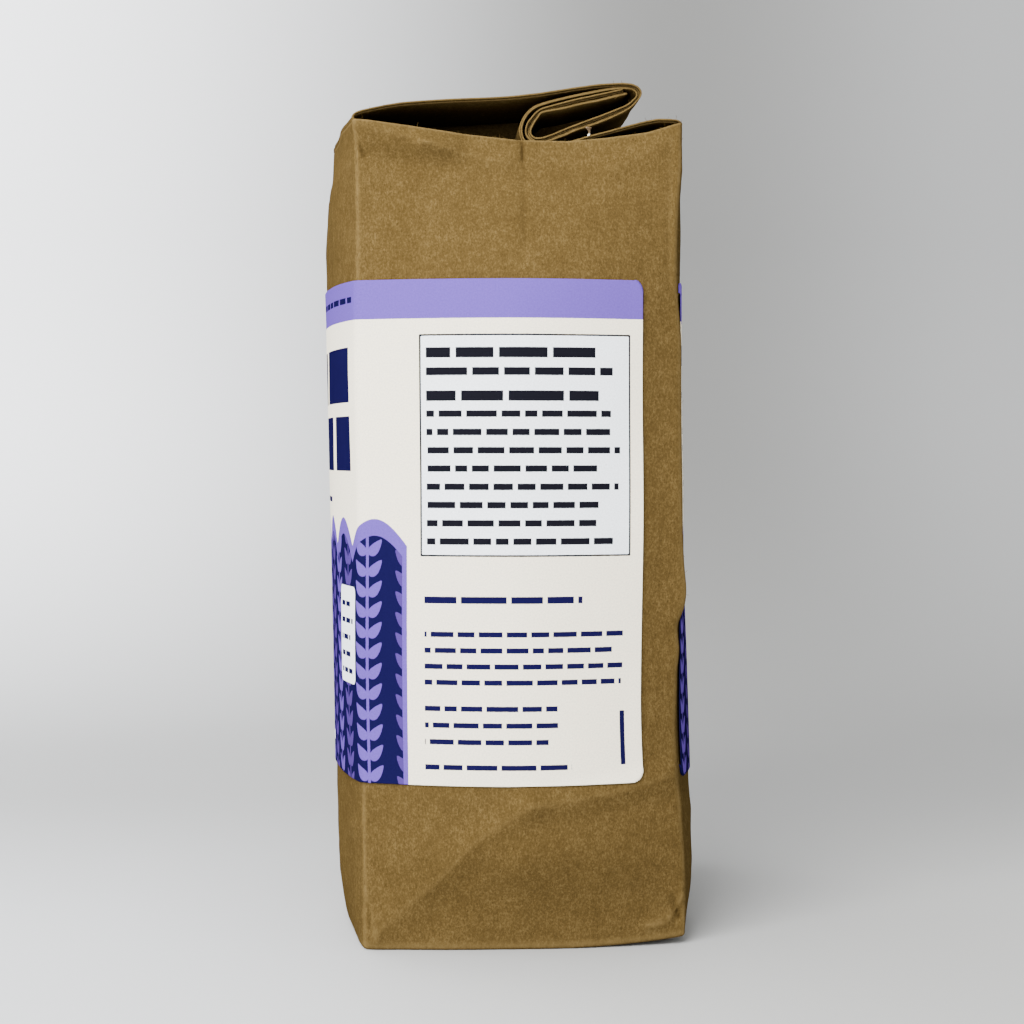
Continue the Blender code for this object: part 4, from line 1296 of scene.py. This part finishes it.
# %% Label material
def print_label():
    material, tree, shader = new_material("label_paper")
    material.diffuse_color = (*CREAM, 1.0)
    uv = add(tree, "ShaderNodeUVMap", uv_map="UVMap").outputs[0]
    place = add(tree, "ShaderNodeVectorMath", {0: uv, "Scale": 1 / MM}, operation="SCALE").outputs[0]
    # Ink edges on uncoated paper are never quite straight
    stray = add(tree, "ShaderNodeTexNoise", {"Vector": place, "Scale": 3.0, "Detail": 1.0})
    nudge = vector(tree, "SUBTRACT", stray.outputs["Color"], (0.5, 0.5, 0.5))
    place = vector(tree, "ADD", place, vector(tree, "MULTIPLY", nudge, (0.12, 0.12, 0.0)))
    parts = add(tree, "ShaderNodeSeparateXYZ", {0: place}).outputs

    def field(left, right, foot, top, corner=0.3):
        node = add(tree, "ShaderNodeGroup", node_tree=rounded_field)
        tree.links.new(place, node.inputs["Place"])
        node.inputs["Centre"].default_value = ((left + right) / 2, (foot + top) / 2, 0)
        node.inputs["Half size"].default_value = ((right - left) / 2, (top - foot) / 2, 9)
        node.inputs["Corner"].default_value = corner
        return node.outputs["Mask"]

    def either(*masks):
        total = masks[0]
        for mask in masks[1:]:
            total = maths(tree, "MAXIMUM", total, mask)
        return total

    def bars(blocks):
        masks = []
        for block in blocks:
            node = add(tree, "ShaderNodeGroup", node_tree=block_of_bars)
            tree.links.new(place, node.inputs["Place"])
            for name, value in zip(("Left", "Right", "Top", "Lines", "Pitch", "Bar height", "Bar length",
                                    "Gap", "Ragged", "Seed"), block):
                node.inputs[name].default_value = value
            masks.append(node.outputs["Mask"])
        return either(*masks)

    ears = add(tree, "ShaderNodeGroup", node_tree=oat_ears)
    tree.links.new(place, ears.inputs["Place"])
    wave = maths(tree, "ABSOLUTE", maths(tree, "SINE", times(tree, parts["X"], math.pi / ART_WAVE_LENGTH)))
    under = minus(tree, plus(tree, ART_TOP, times(tree, wave, ART_WAVE)), parts["Y"])
    before = minus(tree, ART_END, parts["X"])
    art = times(tree, ramp_between(tree, under, -0.08, 0.08), ramp_between(tree, before, -0.08, 0.08))
    inner = times(tree, ramp_between(tree, under, 4.1, 4.3), ramp_between(tree, before, 1.2, 1.4))
    sprig = either(ears.outputs["Grain mask"], ears.outputs["Stem mask"])
    colour = blend(tree, field(-5, 420, 117.2, 140), CREAM, LAVENDER)
    colour = blend(tree, art, colour, LAVENDER)
    colour = blend(tree, inner, colour, NAVY)
    ear = blend(tree, ears.outputs["Column"], LAVENDER, VIOLET)
    colour = blend(tree, times(tree, inner, sprig), colour, ear)

    # Near gusset: a white panel with a thin outline and rows of bars, and blocks of bars below it
    colour = blend(tree, field(349.3, 403.1, 57.7, 113.3), colour, INK)
    colour = blend(tree, field(349.75, 402.65, 58.15, 112.85), colour, WHITE)
    colour = blend(tree, bars(NEAR_TABLE), colour, INK)
    notes = either(bars(NEAR_NOTES), field(400.6, 401.9, 4.8, 18.6, 0.2))
    colour = blend(tree, notes, colour, NAVY)

    # Front: a title of heavy bars, a thin row in the band, and two small white panels over the ears
    title = either(bars(FRONT_TITLE), field(238, 302, 70.6, 72.0, 0.5))
    colour = blend(tree, title, colour, NAVY)
    colour = blend(tree, bars(FRONT_BAND), colour, NAVY)
    panels = either(field(316, 331, 24.5, 49.5, 1.6), field(209, 224, 24.5, 49.5, 1.6))
    colour = blend(tree, panels, colour, WHITE)
    colour = blend(tree, bars(FRONT_SMALL), colour, NAVY)
    colour = blend(tree, bars(FRONT_FOOT), colour, WHITE)

    # Far gusset and back panel: headings and blocks of bars on the cream
    colour = blend(tree, bars(FAR_AND_BACK), colour, NAVY)

    # Paper tooth: faint fibres under the ink, on a matt surface
    tooth = add(tree, "ShaderNodeTexNoise", {"Vector": place, "Scale": 2.2, "Detail": 4.0, "Roughness": 0.7})
    cloud = add(tree, "ShaderNodeTexNoise", {"Vector": place, "Scale": 0.05, "Detail": 3.0})
    shade = plus(tree, 0.68, times(tree, tooth.outputs[0], 0.64))
    shade = minus(tree, shade, times(tree, cloud.outputs[0], 0.03))
    tint = add(tree, "ShaderNodeCombineColor", {0: shade, 1: shade, 2: shade})
    colour = blend(tree, 1.0, colour, tint.outputs[0], "MULTIPLY")
    tree.links.new(colour, shader.inputs["Base Color"])
    tree.links.new(plus(tree, 0.40, times(tree, tooth.outputs[0], 0.14)), shader.inputs["Roughness"])
    bumps = add(tree, "ShaderNodeBump", {"Strength": 0.12, "Distance": 0.08 * MM,
                                         "Height": tooth.outputs[0]})
    tree.links.new(bumps.outputs[0], shader.inputs["Normal"])
    shader.inputs["Specular IOR Level"].default_value = 0.0
    return material


label_paper = print_label()
printed_label.data.materials.append(label_paper)
print("label print:", len(label_paper.node_tree.nodes), "nodes")

# %% [markdown]
# ## Glue
#
# Hot glue is a cloudy, slightly yellow plastic that light passes into. Subsurface scattering with a
# glossy surface gives that, where real transparency would look like glass at this size.

# %% Glue material
SOAKED = (0.075, 0.045, 0.018)


def glue_material():
    material, tree, shader = new_material("hot_glue")
    place = add(tree, "ShaderNodeTexCoord").outputs["Object"]
    haze = add(tree, "ShaderNodeTexNoise", {"Vector": place, "Scale": 1400.0, "Detail": 3.0}).outputs[0]
    colour = blend(tree, haze, (0.78, 0.68, 0.50), (0.93, 0.91, 0.86))
    # Where it soaked into the paper above it is brown, and only its foot is pale
    height = add(tree, "ShaderNodeSeparateXYZ", {0: place}).outputs["Z"]
    soaked = ramp_between(tree, height, GLUE_FOOT + 0.3 * MM, GLUE_FOOT + 0.8 * MM)
    colour = blend(tree, soaked, colour, SOAKED)
    tree.links.new(colour, shader.inputs["Base Color"])
    tree.links.new(plus(tree, 0.18, times(tree, haze, 0.2)), shader.inputs["Roughness"])
    shader.inputs["Subsurface Weight"].default_value = 0.35
    shader.inputs["Subsurface Radius"].default_value = (0.0010, 0.0008, 0.0005)
    shader.inputs["Subsurface Scale"].default_value = 1.0
    return material


hot_glue = glue_material()
glue_dab.data.materials.append(hot_glue)
print("glue finish is ready")

# %% [markdown]
# ## Floor and light
#
# The photograph has a pale floor that goes over into a pale wall without an edge, and soft light
# from everywhere, a little stronger from the front left. A sheet with a rounded bend makes the floor
# and the wall, and its colour gives it the shade that the photograph has on the right and in the
# bend. Five soft lamps and a pale world give the light. The front one fills the shade on the gusset,
# and the wall's one lights only the wall on the left.

# %% Floor, lamps and world
STAGE = 1.6
BEND_START = -0.35
BEND_RADIUS = 0.25
SHADED_BEND = (0.26, 0.26, 0.255)
# Colours of the sheet low down and high up, on its pale left and on its shaded right
LEFT_COLOURS = ((0.56, 0.575, 0.595), (0.80, 0.81, 0.83))
RIGHT_COLOURS = ((0.36, 0.36, 0.35), (0.155, 0.155, 0.15))
# Name, size in m, power in W, place and what it points at
LAMPS = [("key", 0.5, 19.5, (0.60, -0.32, 0.54), (0, 0, 0.1)),
         ("front", 0.9, 15.0, (1.35, -0.34, 0.22), (0, 0, 0.12)),
         ("wall", 0.5, 9.5, (-0.15, -0.62, 0.60), (-1.15, -0.62, 0.40)),
         ("right", 0.5, 2.5, (0.30, 0.85, 0.35), (0, 0, 0.1)),
         ("top", 0.9, 14.0, (-0.1, -0.2, 1.1), (-0.1, -0.1, 0.0))]


def build_backdrop():
    profile = [(STAGE, 0.0), (BEND_START, 0.0)]
    profile += [(BEND_START - BEND_RADIUS * math.sin(a), BEND_RADIUS - BEND_RADIUS * math.cos(a))
                for a in np.radians(range(10, 100, 10))]
    profile += [(BEND_START - BEND_RADIUS, STAGE)]
    points = [(x, y, z) for x, z in profile for y in (-STAGE, STAGE)]
    faces = [(2 * i, 2 * i + 2, 2 * i + 3, 2 * i + 1) for i in range(len(profile) - 1)]
    backdrop = mesh_object("backdrop", points, faces)
    backdrop.data.shade_smooth()
    material, tree, shader = new_material("studio_paper")
    # The right side lies in shade, and so does the bend behind the bag
    place = add(tree, "ShaderNodeTexCoord").outputs["Object"]
    place = add(tree, "ShaderNodeSeparateXYZ", {0: place}).outputs
    shade = ramp_between(tree, place["Y"], -0.28, 0.12)
    shade = minus(tree, shade, times(tree, ramp_between(tree, place["Y"], 0.12, 0.34), 0.25))
    along = minus(tree, place["Z"], place["X"])
    dark = blend(tree, ramp_between(tree, along, 0.0, 0.7), *RIGHT_COLOURS)
    pale = blend(tree, ramp_between(tree, along, 0.0, 0.8), *LEFT_COLOURS)
    colour = blend(tree, shade, pale, dark)
    bend = times(tree, ramp_between(tree, along, -0.06, 0.2), ramp_between(tree, along, 0.75, 0.25))
    colour = blend(tree, times(tree, bend, 0.85), colour, SHADED_BEND)
    tree.links.new(colour, shader.inputs["Base Color"])
    shader.inputs["Roughness"].default_value = 0.6
    backdrop.data.materials.append(material)
    return backdrop


backdrop = build_backdrop()
for name, size, power, place, target in LAMPS:
    light = bpy.data.lights.new(name, "AREA")
    light.shape = "RECTANGLE"
    light.size = light.size_y = size
    light.energy = power
    lamp = put_in_scene(name, light)
    lamp.location = place
    lamp.rotation_euler = (Vector(target) - Vector(place)).to_track_quat("-Z", "Y").to_euler()
world = bpy.data.worlds.new("studio")
bpy.context.scene.world = world
world.use_nodes = True
world.node_tree.nodes["Background"].inputs["Color"].default_value = (0.90, 0.93, 0.95, 1)
world.node_tree.nodes["Background"].inputs["Strength"].default_value = 0.46
print("lamps:", ", ".join(lamp[0] for lamp in LAMPS))

# %% [markdown]
# ## Joining the pieces to the model
#
# Every piece rides on the model's one body, and the model's own bag, label and glue are hidden.

# %% Ride and replace
for piece, slot in ((paper_body, "kraft_paper"), (front_flap, "kraft_paper"), (back_flap, "kraft_paper"),
                    (front_ply, "kraft_paper"), (back_ply, "kraft_paper"), (roll_heart, "kraft_paper"),
                    (stray_fibres, "kraft_paper"), (printed_label, "label_paper"), (glue_dab, "hot_glue")):
    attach(piece, "root")
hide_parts("bag")
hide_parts("label")
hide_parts("glue_bead")
